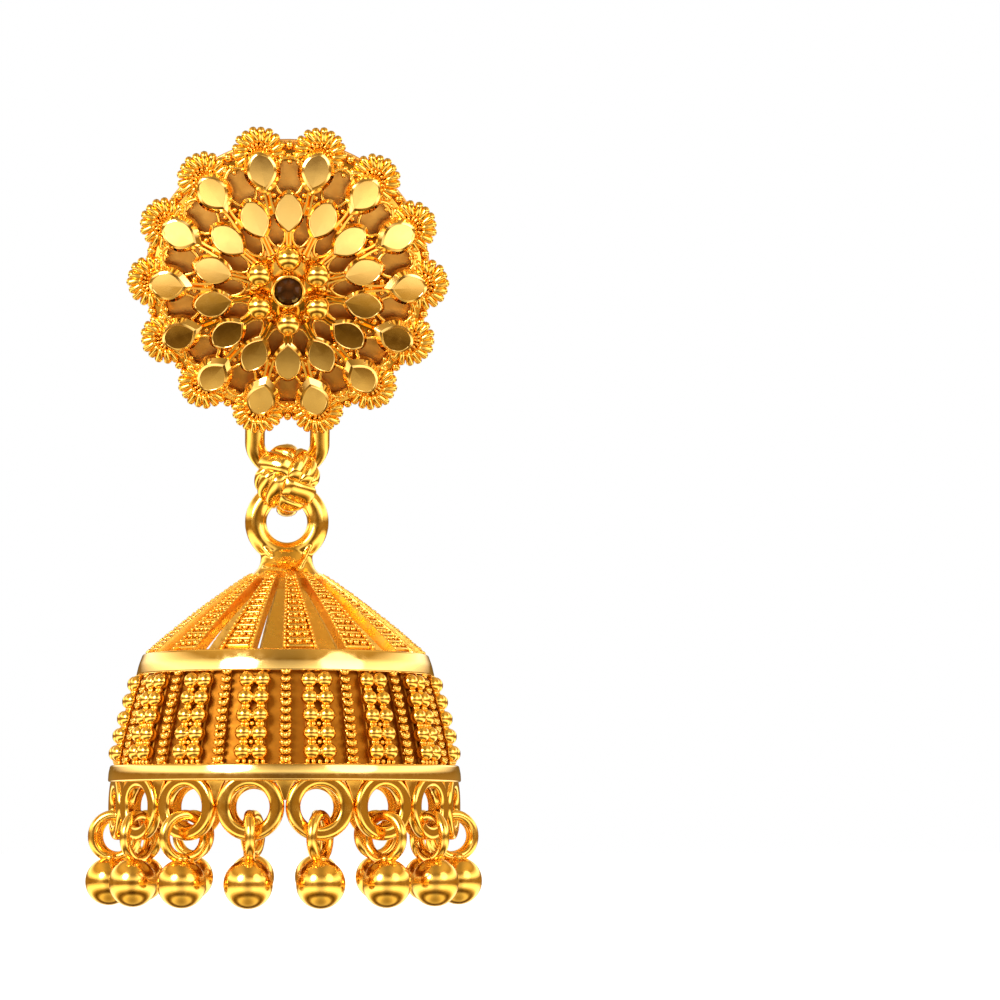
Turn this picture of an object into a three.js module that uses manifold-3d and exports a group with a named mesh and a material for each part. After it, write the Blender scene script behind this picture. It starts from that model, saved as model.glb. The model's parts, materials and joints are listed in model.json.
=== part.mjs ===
// Jhumka drop earring: a flower stud, a knot-shaped link and a bell with a fringe of ball drops.
// Millimetres, +Z up, the flower looks towards -Y. The origin is on the ear post, where the ear lobe
// rests on the post's pad. The flower nods forward, so the rest hangs a little behind the post.

import * as THREE from 'three';
import { mergeVertices } from 'three/addons/utils/BufferGeometryUtils.js';
import Module from 'manifold-3d';

const wasm = await Module();
wasm.setup();

// Driving dimensions.

const nod = THREE.MathUtils.degToRad(23.5);
const weld = 1e-4;

const post = {
  radius: 0.45,
  length: 11,
  tipRadius: 0.2,
  tipLength: 0.5,
  padRadius: 1.9,
  padThickness: 0.5,
  sides: 16,
};
const plate = { radius: 9.6, thickness: 0.5, rise: 0.6, rings: 2, segments: 28 };
const loop = {
  halfWidth: 2.26,
  halfDrop: 1.91,
  wire: 0.69,
  behind: 0.25,
  centreDrop: 11.85,
  topDrop: 9.8,
  endSteps: 6,
  sides: 6,
};

const flower = {
  petals: 14,
  underside: 0.74,
  rise: 1.5,
  domeRadius: 9,
  webThickness: 0.6,
  hubRadius: 3,
  rimInner: 8.5,
  rimOuter: 9.35,
};
const innerPetal = { radius: 5.15, halfWidth: 0.92, halfLength: 1.35, height: 0.35, table: 0.85 };
const outerPetal = { radius: 7.95, halfWidth: 1.05, halfLength: 1.4, height: 0.75, table: 0.68 };
const innerStem = { from: 2.4, to: 4.4, width: 0.5 };
const outerStem = { from: 4.9, to: 7.1, width: 0.8 };
const petalSides = 8;
const scallop = { radius: 9.15, arch: 1.32, wire: 0.53, level: 1.14, sweep: 220, steps: 6, sides: 4 };
const ball = { count: 6, radius: 0.82, circle: 2.31, level: 2.86, around: 8, high: 4 };
const bezel = { outer: 1.13, inner: 0.99, floor: 3.05, top: 3.68, base: 2.3, sides: 14 };
const stone = {
  girdle: 0.92,
  table: 0.55,
  belowGirdle: 0.35,
  culet: 0.1,
  crown: 0.2,
  clearance: 0.05,
  sides: 10,
};

const bellRing = { radius: 2.15, wire: 0.7, below: 1.6, sides: 8, steps: 20 };
const hoopEndSteps = 6;
const link = {
  wire: 0.5,
  clearance: 0.07,
  halfWidth: 2.35,
  halfHeight: 2.4,
  depth: 1.75,
  setBack: 1.2,
  flatBack: 0.85,
  ringClearance: 0.1,
  sides: 8,
  knotAround: 16,
  knotHigh: 10,
  fatRingSides: 6,
  fatRingSteps: 14,
};
const linkSwing = { low: -12, high: 30, steps: 4 };

const cone = {
  ribs: 14,
  firstRib: 5.6,
  arcRadius: 61.9,
  startTilt: 34,
  endTilt: 42.5,
  topRadius: 2.4,
  topHeight: -19.97,
  thickness: 0.75,
  ribHalfAngle: 7.1,
  gapStart: 3.3,
  gapCorner: 0.35,
  steps: 4,
};
const neck = {
  topHalfX: 1.95,
  topHalfY: 0.5,
  topInset: 0.06,
  shoulderHalfY: 1.0,
  shoulderDrop: 0.9,
  waistHalfX: 2.05,
  waistHalfY: 1.65,
  waistRise: 0.45,
  foot: 0.15,
  sides: 16,
};
const drum = {
  upperTop: { radius: 9.9, height: -25.57 },
  upperFoot: { radius: 10.35, height: -27.07 },
  wallTop: 9.75,
  wallFoot: 11.35,
  lowerTop: { radius: 12.05, height: -33.22 },
  lowerFoot: { radius: 12.2, height: -34.37 },
  bandThickness: 0.75,
  lowerBandThickness: 1.0,
  wallThickness: 0.55,
  segments: 32,
};
const column = { count: 16, width: 2.0, proud: 0.6, sunk: 0.3 };
const wireStrip = { width: 0.55, proud: 0.35 };
const washer = { outer: 2.25, hole: 1.3, thickness: 0.8, circle: 11.6, height: -36.07, sides: 12, holeSides: 10 };
const web = { halfWidth: 0.85, depth: 0.5, drop: 1.5, circle: 11.7 };
const drop = {
  count: 16,
  ringCircle: 11.85,
  ringHeight: -38.07,
  ringRadius: 1.44,
  wire: 0.36,
  ballCircle: 12.15,
  ballHeight: -41.12,
  ballRadius: 1.62,
  ringSides: 5,
  ringSteps: 10,
  ballAround: 9,
  ballHigh: 6,
};

// Solids.

function closedSolid(geometry, placement = new THREE.Matrix4()) {
  const bare = geometry.clone().applyMatrix4(placement);
  bare.deleteAttribute('normal');
  bare.deleteAttribute('uv');
  const merged = mergeVertices(bare, weld);
  const points = merged.attributes.position.array;
  const corners = merged.index.array;
  const triangles = [];
  let volume = 0;
  for (let start = 0; start < corners.length; start += 3) {
    const [a, b, c] = corners.subarray(start, start + 3);
    if (a === b || b === c || c === a) continue;
    triangles.push([a, b, c]);
    const [p, q, r] = [a, b, c].map((corner) => new THREE.Vector3().fromArray(points, corner * 3));
    volume += p.dot(q.cross(r));
  }
  const outward = volume > 0 ? triangles : triangles.map(([a, b, c]) => [a, c, b]);
  return new wasm.Manifold(
    new wasm.Mesh({
      numProp: 3,
      vertProperties: new Float32Array(points),
      triVerts: new Uint32Array(outward.flat()),
    }),
  );
}

function joined(solids) {
  return solids.reduce((whole, next) => whole.add(next));
}

function meshOf(name, solid, material) {
  const data = solid.getMesh();
  const geometry = new THREE.BufferGeometry();
  geometry.setAttribute('position', new THREE.BufferAttribute(new Float32Array(data.vertProperties), 3));
  geometry.setIndex(new THREE.BufferAttribute(new Uint32Array(data.triVerts), 1));
  geometry.computeVertexNormals();
  const mesh = new THREE.Mesh(geometry, material);
  mesh.name = name;
  return mesh;
}

// A closed profile of [radius, height] points turned about the Z axis.
function turned(profile, segments) {
  const points = profile.map(([radius, height]) => new THREE.Vector2(radius, height));
  return new THREE.LatheGeometry(points, segments).rotateX(Math.PI / 2);
}

function loopedProfile(points) {
  return [...points, points[0]];
}

// A closed skin through rings of points that all have the same number of points.
function skin(rings) {
  const count = rings[0].length;
  const indices = [];
  for (let level = 0; level < rings.length - 1; level += 1) {
    for (let i = 0; i < count; i += 1) {
      const low = level * count + i;
      const lowNext = level * count + ((i + 1) % count);
      indices.push(low, lowNext, lowNext + count, low, lowNext + count, low + count);
    }
  }
  const last = (rings.length - 1) * count;
  for (let i = 1; i < count - 1; i += 1) {
    indices.push(0, i + 1, i, last, last + i, last + i + 1);
  }
  const geometry = new THREE.BufferGeometry();
  geometry.setFromPoints(rings.flat());
  geometry.setIndex(indices);
  return geometry;
}

function ellipseRing(halfX, halfY, height, sides) {
  return Array.from({ length: sides }, (_, i) => {
    const angle = (i / sides) * 2 * Math.PI;
    return new THREE.Vector3(halfX * Math.cos(angle), halfY * Math.sin(angle), height);
  });
}

// A round wire along a path, with flat ends on an open path.
function wireAlong(path, radius, steps, sides) {
  const section = new THREE.Shape();
  for (let i = 0; i < sides; i += 1) {
    const angle = (i / sides) * 2 * Math.PI;
    const move = i === 0 ? 'moveTo' : 'lineTo';
    section[move](radius * Math.cos(angle), radius * Math.sin(angle));
  }
  section.closePath();
  return new THREE.ExtrudeGeometry(section, { steps, extrudePath: path });
}

function turnZ(angle) {
  return new THREE.Matrix4().makeRotationZ(angle);
}

function place(x, y, z) {
  return new THREE.Matrix4().makeTranslation(x, y, z);
}

// A closed ring of wire in the YZ plane, shaped as an upright oval between two round ends.
function ovalRing(upper, lower, halfWidth, wire, sides) {
  const route = [];
  for (let i = 0; i <= hoopEndSteps; i += 1) {
    const angle = (i / hoopEndSteps) * Math.PI;
    route.push([halfWidth * Math.cos(angle), upper + halfWidth * Math.sin(angle), angle]);
  }
  for (let i = 0; i <= hoopEndSteps; i += 1) {
    const angle = Math.PI + (i / hoopEndSteps) * Math.PI;
    route.push([halfWidth * Math.cos(angle), lower + halfWidth * Math.sin(angle), angle]);
  }
  const rings = route.map(([across, up, angle]) =>
    Array.from({ length: sides }, (_, i) => {
      const around = (i / sides) * 2 * Math.PI;
      const out = wire * Math.cos(around);
      return new THREE.Vector3(wire * Math.sin(around), across + out * Math.cos(angle), up + out * Math.sin(angle));
    }),
  );
  return closedTube(rings);
}

// A tube whose last ring joins its first.
function closedTube(rings) {
  const count = rings[0].length;
  const indices = [];
  for (let level = 0; level < rings.length; level += 1) {
    const nextLevel = (level + 1) % rings.length;
    for (let i = 0; i < count; i += 1) {
      const next = (i + 1) % count;
      const [a, b] = [level * count + i, level * count + next];
      const [c, d] = [nextLevel * count + next, nextLevel * count + i];
      indices.push(a, b, c, a, c, d);
    }
  }
  const geometry = new THREE.BufferGeometry();
  geometry.setFromPoints(rings.flat());
  geometry.setIndex(indices);
  return geometry;
}

// The flower. Its own frame has +Z out of its face and +Y towards its top.

function domeUnder(radius) {
  return flower.underside + flower.rise * (1 - (radius / flower.domeRadius) ** 2);
}

function domeSlope(radius) {
  return Math.atan((2 * flower.rise * radius) / flower.domeRadius ** 2);
}

function domeBand(from, to, segments) {
  const top = flower.webThickness;
  const profile = [
    [from, domeUnder(from)],
    [to, domeUnder(to)],
    [to, domeUnder(to) + top],
    [from, domeUnder(from) + top],
  ];
  return closedSolid(turned(loopedProfile(profile), segments));
}

function hub() {
  const edge = flower.hubRadius;
  const top = flower.webThickness;
  const profile = [
    [0, domeUnder(0)],
    [edge, domeUnder(edge)],
    [edge, domeUnder(edge) + top],
    [0, domeUnder(0) + top],
  ];
  return closedSolid(turned(profile, flower.petals));
}

// Lays a piece made around the origin on the dome, at a radius up the flower's +Y axis.
function onDome(radius, turn) {
  const tilt = new THREE.Matrix4().makeRotationX(-domeSlope(radius));
  return turnZ(turn).multiply(place(0, radius, domeUnder(radius))).multiply(tilt);
}

function petal(sizes, turn) {
  const outline = (scale, height) =>
    Array.from({ length: petalSides }, (_, i) => {
      const angle = (i / petalSides) * 2 * Math.PI;
      const across = scale * sizes.halfWidth * Math.sin(angle);
      return new THREE.Vector3(across, scale * sizes.halfLength * Math.cos(angle), height);
    }).reverse();
  const top = flower.webThickness + sizes.height;
  const shape = skin([outline(1, 0), outline(sizes.table, top)]);
  return closedSolid(shape, onDome(sizes.radius, turn));
}

function stem(sizes, turn) {
  const middle = (sizes.from + sizes.to) / 2;
  const bar = new THREE.BoxGeometry(sizes.width, sizes.to - sizes.from, flower.webThickness);
  bar.translate(0, 0, flower.webThickness / 2);
  return closedSolid(bar, onDome(middle, turn));
}

function scallopArch(turn) {
  const half = THREE.MathUtils.degToRad(scallop.sweep / 2);
  const path = new THREE.CatmullRomCurve3(
    Array.from({ length: scallop.steps + 1 }, (_, i) => {
      const angle = -half + (2 * half * i) / scallop.steps;
      return new THREE.Vector3(scallop.arch * Math.sin(angle), scallop.arch * Math.cos(angle), 0);
    }),
  );
  const wire = wireAlong(path, scallop.wire, scallop.steps, scallop.sides);
  return closedSolid(wire, turnZ(turn).multiply(place(0, scallop.radius, scallop.level)));
}

function bezelCup() {
  const profile = [
    [0, bezel.base],
    [bezel.outer, bezel.base],
    [bezel.outer, bezel.top],
    [bezel.inner, bezel.top],
    [bezel.inner, bezel.floor],
    [0, bezel.floor],
  ];
  return closedSolid(turned(profile, bezel.sides));
}

function flowerFront() {
  const step = (2 * Math.PI) / flower.petals;
  const pieces = [
    hub(),
    domeBand(flower.rimInner, flower.rimOuter, flower.petals * 2),
    bezelCup(),
  ];
  for (let i = 0; i < flower.petals; i += 1) {
    pieces.push(petal(innerPetal, i * step), stem(innerStem, i * step));
    pieces.push(petal(outerPetal, (i + 0.5) * step), stem(outerStem, (i + 0.5) * step));
    pieces.push(scallopArch((i + 0.5) * step));
  }
  for (let i = 0; i < ball.count; i += 1) {
    const sphere = new THREE.SphereGeometry(ball.radius, ball.around, ball.high);
    const turn = (i / ball.count) * 2 * Math.PI;
    pieces.push(closedSolid(sphere, turnZ(turn).multiply(place(0, ball.circle, ball.level))));
  }
  return joined(pieces);
}

function stoneCut() {
  const low = bezel.floor + stone.clearance;
  const profile = [
    [0, low],
    [stone.culet, low],
    [stone.girdle, low + stone.belowGirdle],
    [stone.table, low + stone.belowGirdle + stone.crown],
    [0, low + stone.belowGirdle + stone.crown],
  ];
  return closedSolid(turned(profile, stone.sides));
}

// The plate behind the flower, with the hanging ring soldered to its back.

function plateSheet() {
  const rear = Array.from({ length: plate.rings + 1 }, (_, i) => {
    const radius = (plate.radius * i) / plate.rings;
    return [radius, plate.rise * (1 - (radius / plate.radius) ** 2)];
  });
  const front = rear.map(([radius, height]) => [radius, height + plate.thickness]).reverse();
  return closedSolid(turned([...rear, ...front], plate.segments));
}

function hangingRing() {
  const route = [];
  for (let i = 0; i <= loop.endSteps; i += 1) {
    const angle = (i / loop.endSteps) * Math.PI;
    route.push({ angle, centre: -loop.topDrop });
  }
  for (let i = 0; i <= loop.endSteps; i += 1) {
    const angle = Math.PI + (i / loop.endSteps) * Math.PI;
    route.push({ angle, centre: -loop.centreDrop });
  }
  const rings = route.map(({ angle, centre }) =>
    Array.from({ length: loop.sides }, (_, i) => {
      const around = (i / loop.sides) * 2 * Math.PI;
      const out = loop.wire * Math.cos(around);
      const x = (loop.halfWidth + out) * Math.cos(angle);
      const y = centre + (loop.halfDrop + out) * Math.sin(angle);
      return new THREE.Vector3(x, y, loop.wire * Math.sin(around) - loop.behind);
    }),
  );
  return closedSolid(closedTube(rings));
}

function backPlate() {
  return plateSheet().add(hangingRing());
}

// The post stands on its pad, whose rear face is at the origin.
function earPost() {
  const shoulder = post.length - post.tipLength;
  const profile = [
    [0, post.padThickness],
    [post.padRadius, post.padThickness],
    [post.padRadius, 0],
    [post.radius, 0],
    [post.radius, -shoulder],
    [post.tipRadius, -post.length],
    [0, -post.length],
  ];
  return closedSolid(turned(profile, post.sides));
}

// The places where the pieces hang, in the earring's frame.

const headTurn = new THREE.Matrix4().makeRotationX(Math.PI / 2 + nod);
const upperWire = new THREE.Vector3(0, -loop.centreDrop - loop.halfDrop, -loop.behind).applyMatrix4(headTurn);
const hang = upperWire.y;
const ringCentre = upperWire.z - bellRing.below - bellRing.radius;
const lowerWire = upperWire.z - bellRing.below;

// The knot link: a closed link around both wires, with a broad knot in front of them.

function knotLink() {
  const reach = Math.max(loop.wire, bellRing.wire) + link.clearance + link.wire;
  const hoop = closedSolid(ovalRing(upperWire.z, lowerWire, reach, link.wire, link.sides));
  const dome = new THREE.SphereGeometry(1, link.knotAround, link.knotHigh).rotateX(Math.PI / 2);
  dome.scale(link.halfWidth, link.depth, link.halfHeight);
  const middle = (upperWire.z + lowerWire) / 2;
  let knot = closedSolid(dome, place(0, -link.setBack, middle));
  const block = new THREE.BoxGeometry(4 * link.halfWidth, 2 * link.depth, 4 * link.halfHeight);
  const behind = closedSolid(block, place(0, link.depth - link.flatBack, middle));
  knot = knot.subtract(behind);
  const fatRing = fattenedHangingRing();
  for (let i = 0; i <= linkSwing.steps; i += 1) {
    const swing = linkSwing.low + ((linkSwing.high - linkSwing.low) * i) / linkSwing.steps;
    knot = knot.subtract(fatRing.transform(aboutUpperWire(-THREE.MathUtils.degToRad(swing)).toArray()));
  }
  return knot.add(hoop);
}

// The hanging ring with room around it, in the earring's frame, moved so that the upper wire is at y = 0.
function fattenedHangingRing() {
  const { fatRingSides: sides, fatRingSteps: steps } = link;
  const thick = loop.wire + link.ringClearance;
  const rings = Array.from({ length: steps }, (_, step) => {
    const angle = (step / steps) * 2 * Math.PI;
    return Array.from({ length: sides }, (__, i) => {
      const around = (i / sides) * 2 * Math.PI;
      const out = thick * Math.cos(around);
      const x = (loop.halfWidth + out) * Math.cos(angle);
      const y = -loop.centreDrop + (loop.halfDrop + out) * Math.sin(angle);
      return new THREE.Vector3(x, y, thick * Math.sin(around) - loop.behind);
    });
  });
  return closedSolid(closedTube(rings), place(0, -hang, 0).multiply(headTurn));
}

function aboutUpperWire(angle) {
  const turn = new THREE.Matrix4().makeRotationX(angle);
  return place(0, 0, upperWire.z).multiply(turn).multiply(place(0, 0, -upperWire.z));
}

// The bell, about the Z axis.

function coneArc(inset) {
  const from = THREE.MathUtils.degToRad(cone.startTilt);
  const to = THREE.MathUtils.degToRad(cone.endTilt);
  const centreRadius = cone.topRadius - cone.arcRadius * Math.sin(from);
  const centreHeight = cone.topHeight - cone.arcRadius * Math.cos(from);
  return Array.from({ length: cone.steps + 1 }, (_, i) => {
    const tilt = from + ((to - from) * i) / cone.steps;
    const reach = cone.arcRadius - inset;
    return [centreRadius + reach * Math.sin(tilt), centreHeight + reach * Math.cos(tilt)];
  });
}

function coneShell() {
  const outer = coneArc(0);
  const inner = coneArc(cone.thickness).reverse();
  const lowestInner = inner[inner.length - 1];
  const profile = [[0, cone.topHeight], ...outer, ...inner, [0, lowestInner[1]]];
  return closedSolid(turned(profile, cone.ribs * 2));
}

// Open wedges between the ribs, with rounded lower corners.
function coneGap(turn) {
  const half = THREE.MathUtils.degToRad(180 / cone.ribs - cone.ribHalfAngle);
  const outerEnd = coneArc(0)[cone.steps][0];
  const slope = Math.tan(half);
  const corner = cone.gapCorner * outerEnd * slope;
  const plan = new THREE.Shape();
  plan.moveTo(cone.gapStart, cone.gapStart * slope);
  plan.lineTo(outerEnd - corner, (outerEnd - corner) * slope);
  plan.lineTo(outerEnd, outerEnd * slope - corner);
  plan.lineTo(outerEnd, corner - outerEnd * slope);
  plan.lineTo(outerEnd - corner, (corner - outerEnd) * slope);
  plan.lineTo(cone.gapStart, -cone.gapStart * slope);
  const depth = 2 * (cone.topHeight - drum.upperTop.height);
  const prism = new THREE.ExtrudeGeometry(plan, { depth, bevelEnabled: false });
  return closedSolid(prism, turnZ(turn).multiply(place(0, 0, drum.upperTop.height - depth / 4)));
}

function ribbedCone() {
  const step = (2 * Math.PI) / cone.ribs;
  const first = THREE.MathUtils.degToRad(cone.firstRib - 90);
  let shell = coneShell();
  for (let i = 0; i < cone.ribs; i += 1) {
    shell = shell.subtract(coneGap(first + (i + 0.5) * step));
  }
  return shell;
}

function drumWall() {
  const { upperTop, upperFoot, lowerTop, lowerFoot } = drum;
  const profile = [
    [upperTop.radius - drum.bandThickness, upperTop.height],
    [upperTop.radius, upperTop.height],
    [upperFoot.radius, upperFoot.height],
    [drum.wallTop, upperFoot.height],
    [drum.wallFoot, lowerTop.height],
    [lowerTop.radius, lowerTop.height],
    [lowerFoot.radius, lowerFoot.height],
    [lowerFoot.radius - drum.lowerBandThickness, lowerFoot.height],
    [drum.wallFoot - drum.wallThickness, lowerTop.height],
    [drum.wallTop - drum.wallThickness, upperFoot.height],
  ];
  return closedSolid(turned(loopedProfile(profile), drum.segments));
}

// An upright strip on the leaning drum wall, as wide and proud as given.
function wallStrip(width, proud, turn) {
  const top = drum.upperFoot.height;
  const foot = drum.lowerTop.height;
  const inTop = drum.wallTop - column.sunk;
  const inFoot = drum.wallFoot - column.sunk;
  const half = width / 2;
  const side = (radius, height, across) => new THREE.Vector3(radius, across, height);
  const strip = skin([
    [
      side(inFoot, foot, -half),
      side(drum.wallFoot + proud, foot, -half),
      side(drum.wallFoot + proud, foot, half),
      side(inFoot, foot, half),
    ],
    [
      side(inTop, top, -half),
      side(drum.wallTop + proud, top, -half),
      side(drum.wallTop + proud, top, half),
      side(inTop, top, half),
    ],
  ]);
  return closedSolid(strip, turnZ(turn));
}

function polygonPath(path, radius, sides) {
  for (let i = 0; i < sides; i += 1) {
    const angle = ((i + 0.5) / sides) * 2 * Math.PI;
    const move = i === 0 ? 'moveTo' : 'lineTo';
    path[move](radius * Math.cos(angle), radius * Math.sin(angle));
  }
  path.closePath();
  return path;
}

// A flat ring standing tangent to the bell, under the lower band.
function flatRing(turn) {
  const face = polygonPath(new THREE.Shape(), washer.outer, washer.sides);
  face.holes.push(polygonPath(new THREE.Path(), washer.hole, washer.holeSides));
  const ring = new THREE.ExtrudeGeometry(face, { depth: washer.thickness, bevelEnabled: false });
  ring.translate(0, 0, -washer.thickness / 2).rotateX(Math.PI / 2).rotateZ(Math.PI / 2);
  return closedSolid(ring, turnZ(turn).multiply(place(washer.circle, 0, washer.height)));
}

// The solder web between two flat rings, under the lower band.
function solderWeb(turn) {
  const face = new THREE.Shape();
  face.moveTo(-web.halfWidth, 0);
  face.lineTo(0, -web.drop);
  face.lineTo(web.halfWidth, 0);
  face.closePath();
  const wedge = new THREE.ExtrudeGeometry(face, { depth: web.depth, bevelEnabled: false });
  wedge.translate(0, 0, -web.depth / 2).rotateX(Math.PI / 2).rotateZ(Math.PI / 2);
  const height = (drum.lowerTop.height + drum.lowerFoot.height) / 2;
  return closedSolid(wedge, turnZ(turn).multiply(place(web.circle, 0, height)));
}

function neckBody() {
  const high = ringCentre - bellRing.radius + bellRing.wire;
  const low = cone.topHeight;
  const footRadius = cone.topRadius + neck.foot;
  const rings = [
    ellipseRing(footRadius, footRadius, low - neck.foot, neck.sides),
    ellipseRing(neck.waistHalfX, neck.waistHalfY, low + neck.waistRise, neck.sides),
    ellipseRing(neck.topHalfX, neck.shoulderHalfY, high - neck.shoulderDrop, neck.sides),
    ellipseRing(neck.topHalfX, neck.topHalfY, high - neck.topInset, neck.sides),
  ];
  return closedSolid(skin(rings));
}

function bellSolid() {
  const { radius, wire, sides, steps } = bellRing;
  const ring = new THREE.TorusGeometry(radius, wire, sides, steps).rotateX(Math.PI / 2);
  const pieces = [closedSolid(ring, place(0, 0, ringCentre)), neckBody(), ribbedCone(), drumWall()];
  const step = (2 * Math.PI) / column.count;
  for (let i = 0; i < column.count; i += 1) {
    pieces.push(wallStrip(column.width, column.proud, (i + 0.5) * step));
    pieces.push(wallStrip(wireStrip.width, wireStrip.proud, i * step));
    pieces.push(flatRing((i + 0.5) * step));
    pieces.push(solderWeb(i * step));
  }
  return joined(pieces);
}

// A ball soldered under a wire ring that stands in the radial plane.
function dropSolid() {
  const ring = new THREE.TorusGeometry(drop.ringRadius, drop.wire, drop.ringSides, drop.ringSteps);
  ring.rotateX(Math.PI / 2);
  const sphere = new THREE.SphereGeometry(drop.ballRadius, drop.ballAround, drop.ballHigh);
  sphere.rotateX(Math.PI / 2);
  return joined([
    closedSolid(ring, place(drop.ringCircle, 0, drop.ringHeight)),
    closedSolid(sphere, place(drop.ballCircle, 0, drop.ballHeight)),
  ]);
}

// The earring.

const polishedGold = new THREE.MeshStandardMaterial({ color: 0xe8b53a, roughness: 0.18, metalness: 1 });
const satinGold = new THREE.MeshStandardMaterial({ color: 0xdea935, roughness: 0.32, metalness: 1 });
const dullGold = new THREE.MeshStandardMaterial({ color: 0xc88a3a, roughness: 0.5, metalness: 0.9 });
const darkStone = new THREE.MeshStandardMaterial({ color: 0x2c1206, roughness: 0.08, metalness: 0.1 });

const earring = new THREE.Group();

const head = new THREE.Group();
head.rotation.x = Math.PI / 2 + nod;
head.add(meshOf('flower_front', flowerFront(), polishedGold.clone()));
head.add(meshOf('back_plate', backPlate(), dullGold.clone()));
head.add(meshOf('centre_stone', stoneCut(), darkStone.clone()));
head.add(meshOf('ear_post', earPost(), satinGold.clone()));
earring.add(head);

const hanging = new THREE.Group();
hanging.position.y = hang;
hanging.add(meshOf('knot_link', knotLink(), satinGold.clone()));
hanging.add(meshOf('bell', bellSolid(), polishedGold.clone()));
for (let i = 0; i < drop.count; i += 1) {
  const ballDrop = meshOf(`drop_${String(i + 1).padStart(2, '0')}`, dropSolid(), satinGold.clone());
  ballDrop.rotation.z = ((i + 0.5) / drop.count) * 2 * Math.PI - Math.PI / 2;
  hanging.add(ballDrop);
}
earring.add(hanging);

export default earring;
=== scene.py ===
import json
import math

import bmesh
import bpy
from mathutils import Matrix, Vector


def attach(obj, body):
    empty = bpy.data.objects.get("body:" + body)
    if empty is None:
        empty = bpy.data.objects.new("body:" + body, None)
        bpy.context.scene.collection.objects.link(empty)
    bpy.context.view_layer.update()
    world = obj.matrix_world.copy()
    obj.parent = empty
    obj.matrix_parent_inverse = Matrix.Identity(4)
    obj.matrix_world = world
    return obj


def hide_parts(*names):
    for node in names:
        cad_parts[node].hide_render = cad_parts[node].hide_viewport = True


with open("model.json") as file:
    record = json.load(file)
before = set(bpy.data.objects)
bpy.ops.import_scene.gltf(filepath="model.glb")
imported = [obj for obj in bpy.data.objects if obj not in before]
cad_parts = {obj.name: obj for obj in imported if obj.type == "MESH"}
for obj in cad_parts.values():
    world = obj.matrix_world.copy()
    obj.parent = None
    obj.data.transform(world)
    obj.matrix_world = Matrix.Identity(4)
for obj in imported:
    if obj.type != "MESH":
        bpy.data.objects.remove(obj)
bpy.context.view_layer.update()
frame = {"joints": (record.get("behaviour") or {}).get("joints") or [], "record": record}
record = frame["record"]
joints = {joint["name"]: joint for joint in frame["joints"]}

# Everything is built in millimetres about its own centre, then brought to its place in metres.
toMetres = Matrix.Scale(0.001, 4)
swingAxis = Vector(joints["link_swing"]["pos_m"]) * 1000
bellAxis = Vector(joints["bell_swing"]["pos_m"]) * 1000
postAxis = Vector(next(m["axis"] for m in record["mounts"] if m["name"] == "ear_post_seat"))
nod = math.atan2(postAxis.z, postAxis.y)

flowerPlace = Matrix.Rotation(math.pi / 2 + nod, 4, "X")  # local +Z comes out of the flower's face
knotPlace = Matrix.Translation(swingAxis)  # local zero is the middle of the upper wire
bellPlace = Matrix.Translation(bellAxis)  # local zero is the centre of the bell's ring
front = -math.pi / 2  # the side of the bell that faces the viewer


# Making and placing pieces.

def newObject(name, mesh):
    piece = bpy.data.objects.new(name, mesh)
    bpy.context.scene.collection.objects.link(piece)
    return piece


def meshFrom(name, points, faces, sharpDegrees=35):
    mesh = bpy.data.meshes.new(name)
    mesh.from_pydata([tuple(p) for p in points], [], faces)
    return tidyMesh(mesh, sharpDegrees)


def tidyMesh(mesh, sharpDegrees=35, weld=1e-4):
    shape = bmesh.new()
    shape.from_mesh(mesh)
    bmesh.ops.remove_doubles(shape, verts=shape.verts, dist=weld)
    bmesh.ops.recalc_face_normals(shape, faces=shape.faces)
    for face in shape.faces:
        face.smooth = True
    shape.to_mesh(mesh)
    shape.free()
    mesh.set_sharp_from_angle(angle=math.radians(sharpDegrees))
    return mesh


def skin(name, rings, sharpDegrees=35, closed=False):
    # a skin through rings of points; the ends get caps, or the last ring joins the first
    count = len(rings[0])
    points = [point for ring in rings for point in ring]
    faces = []
    levels = len(rings) if closed else len(rings) - 1
    for level in range(levels):
        low = level * count
        high = (level + 1) % len(rings) * count
        for i in range(count):
            j = (i + 1) % count
            faces.append((low + i, low + j, high + j, high + i))
    if not closed:
        faces.append(tuple(reversed(range(count))))
        faces.append(tuple(range(len(points) - count, len(points))))
    return meshFrom(name, points, faces, sharpDegrees)


def turned(name, profile, steps, sharpDegrees=35, closed=True):
    # a closed profile of (radius, height) points turned about Z; an open one starts and ends on the axis
    rings = []
    for i in range(steps):
        angle = 2 * math.pi * i / steps
        rings.append([(r * math.cos(angle), r * math.sin(angle), h) for r, h in profile])
    count = len(profile)
    points = [point for ring in rings for point in ring]
    faces = []
    spans = count if closed else count - 1
    for i in range(steps):
        low = i * count
        high = (i + 1) % steps * count
        for k in range(spans):
            m = (k + 1) % count
            corners = [low + k, high + k, high + m, low + m]
            if profile[k][0] == 0:
                corners.remove(high + k)
            if profile[m][0] == 0:
                corners.remove(high + m)
            if len(corners) > 2:
                faces.append(tuple(corners))
    return meshFrom(name, points, faces, sharpDegrees)


def rounded(corners, radius, steps=4):
    # a closed outline whose corners are rounded off
    outline = []
    count = len(corners)
    for i, corner in enumerate(corners):
        here = Vector(corner)
        back = Vector(corners[i - 1]) - here
        ahead = Vector(corners[(i + 1) % count]) - here
        reach = min(radius, back.length * 0.45, ahead.length * 0.45)
        start = here + back.normalized() * reach
        end = here + ahead.normalized() * reach
        for k in range(steps + 1):
            t = k / steps
            outline.append(tuple(start * (1 - t) ** 2 + here * (2 * t * (1 - t)) + end * t ** 2))
    return outline


def ball(name, radius, steps=14, levels=9):
    shape = bmesh.new()
    bmesh.ops.create_uvsphere(shape, u_segments=steps, v_segments=levels, radius=radius)
    mesh = bpy.data.meshes.new(name)
    shape.to_mesh(mesh)
    shape.free()
    return tidyMesh(mesh, 80)


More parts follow.
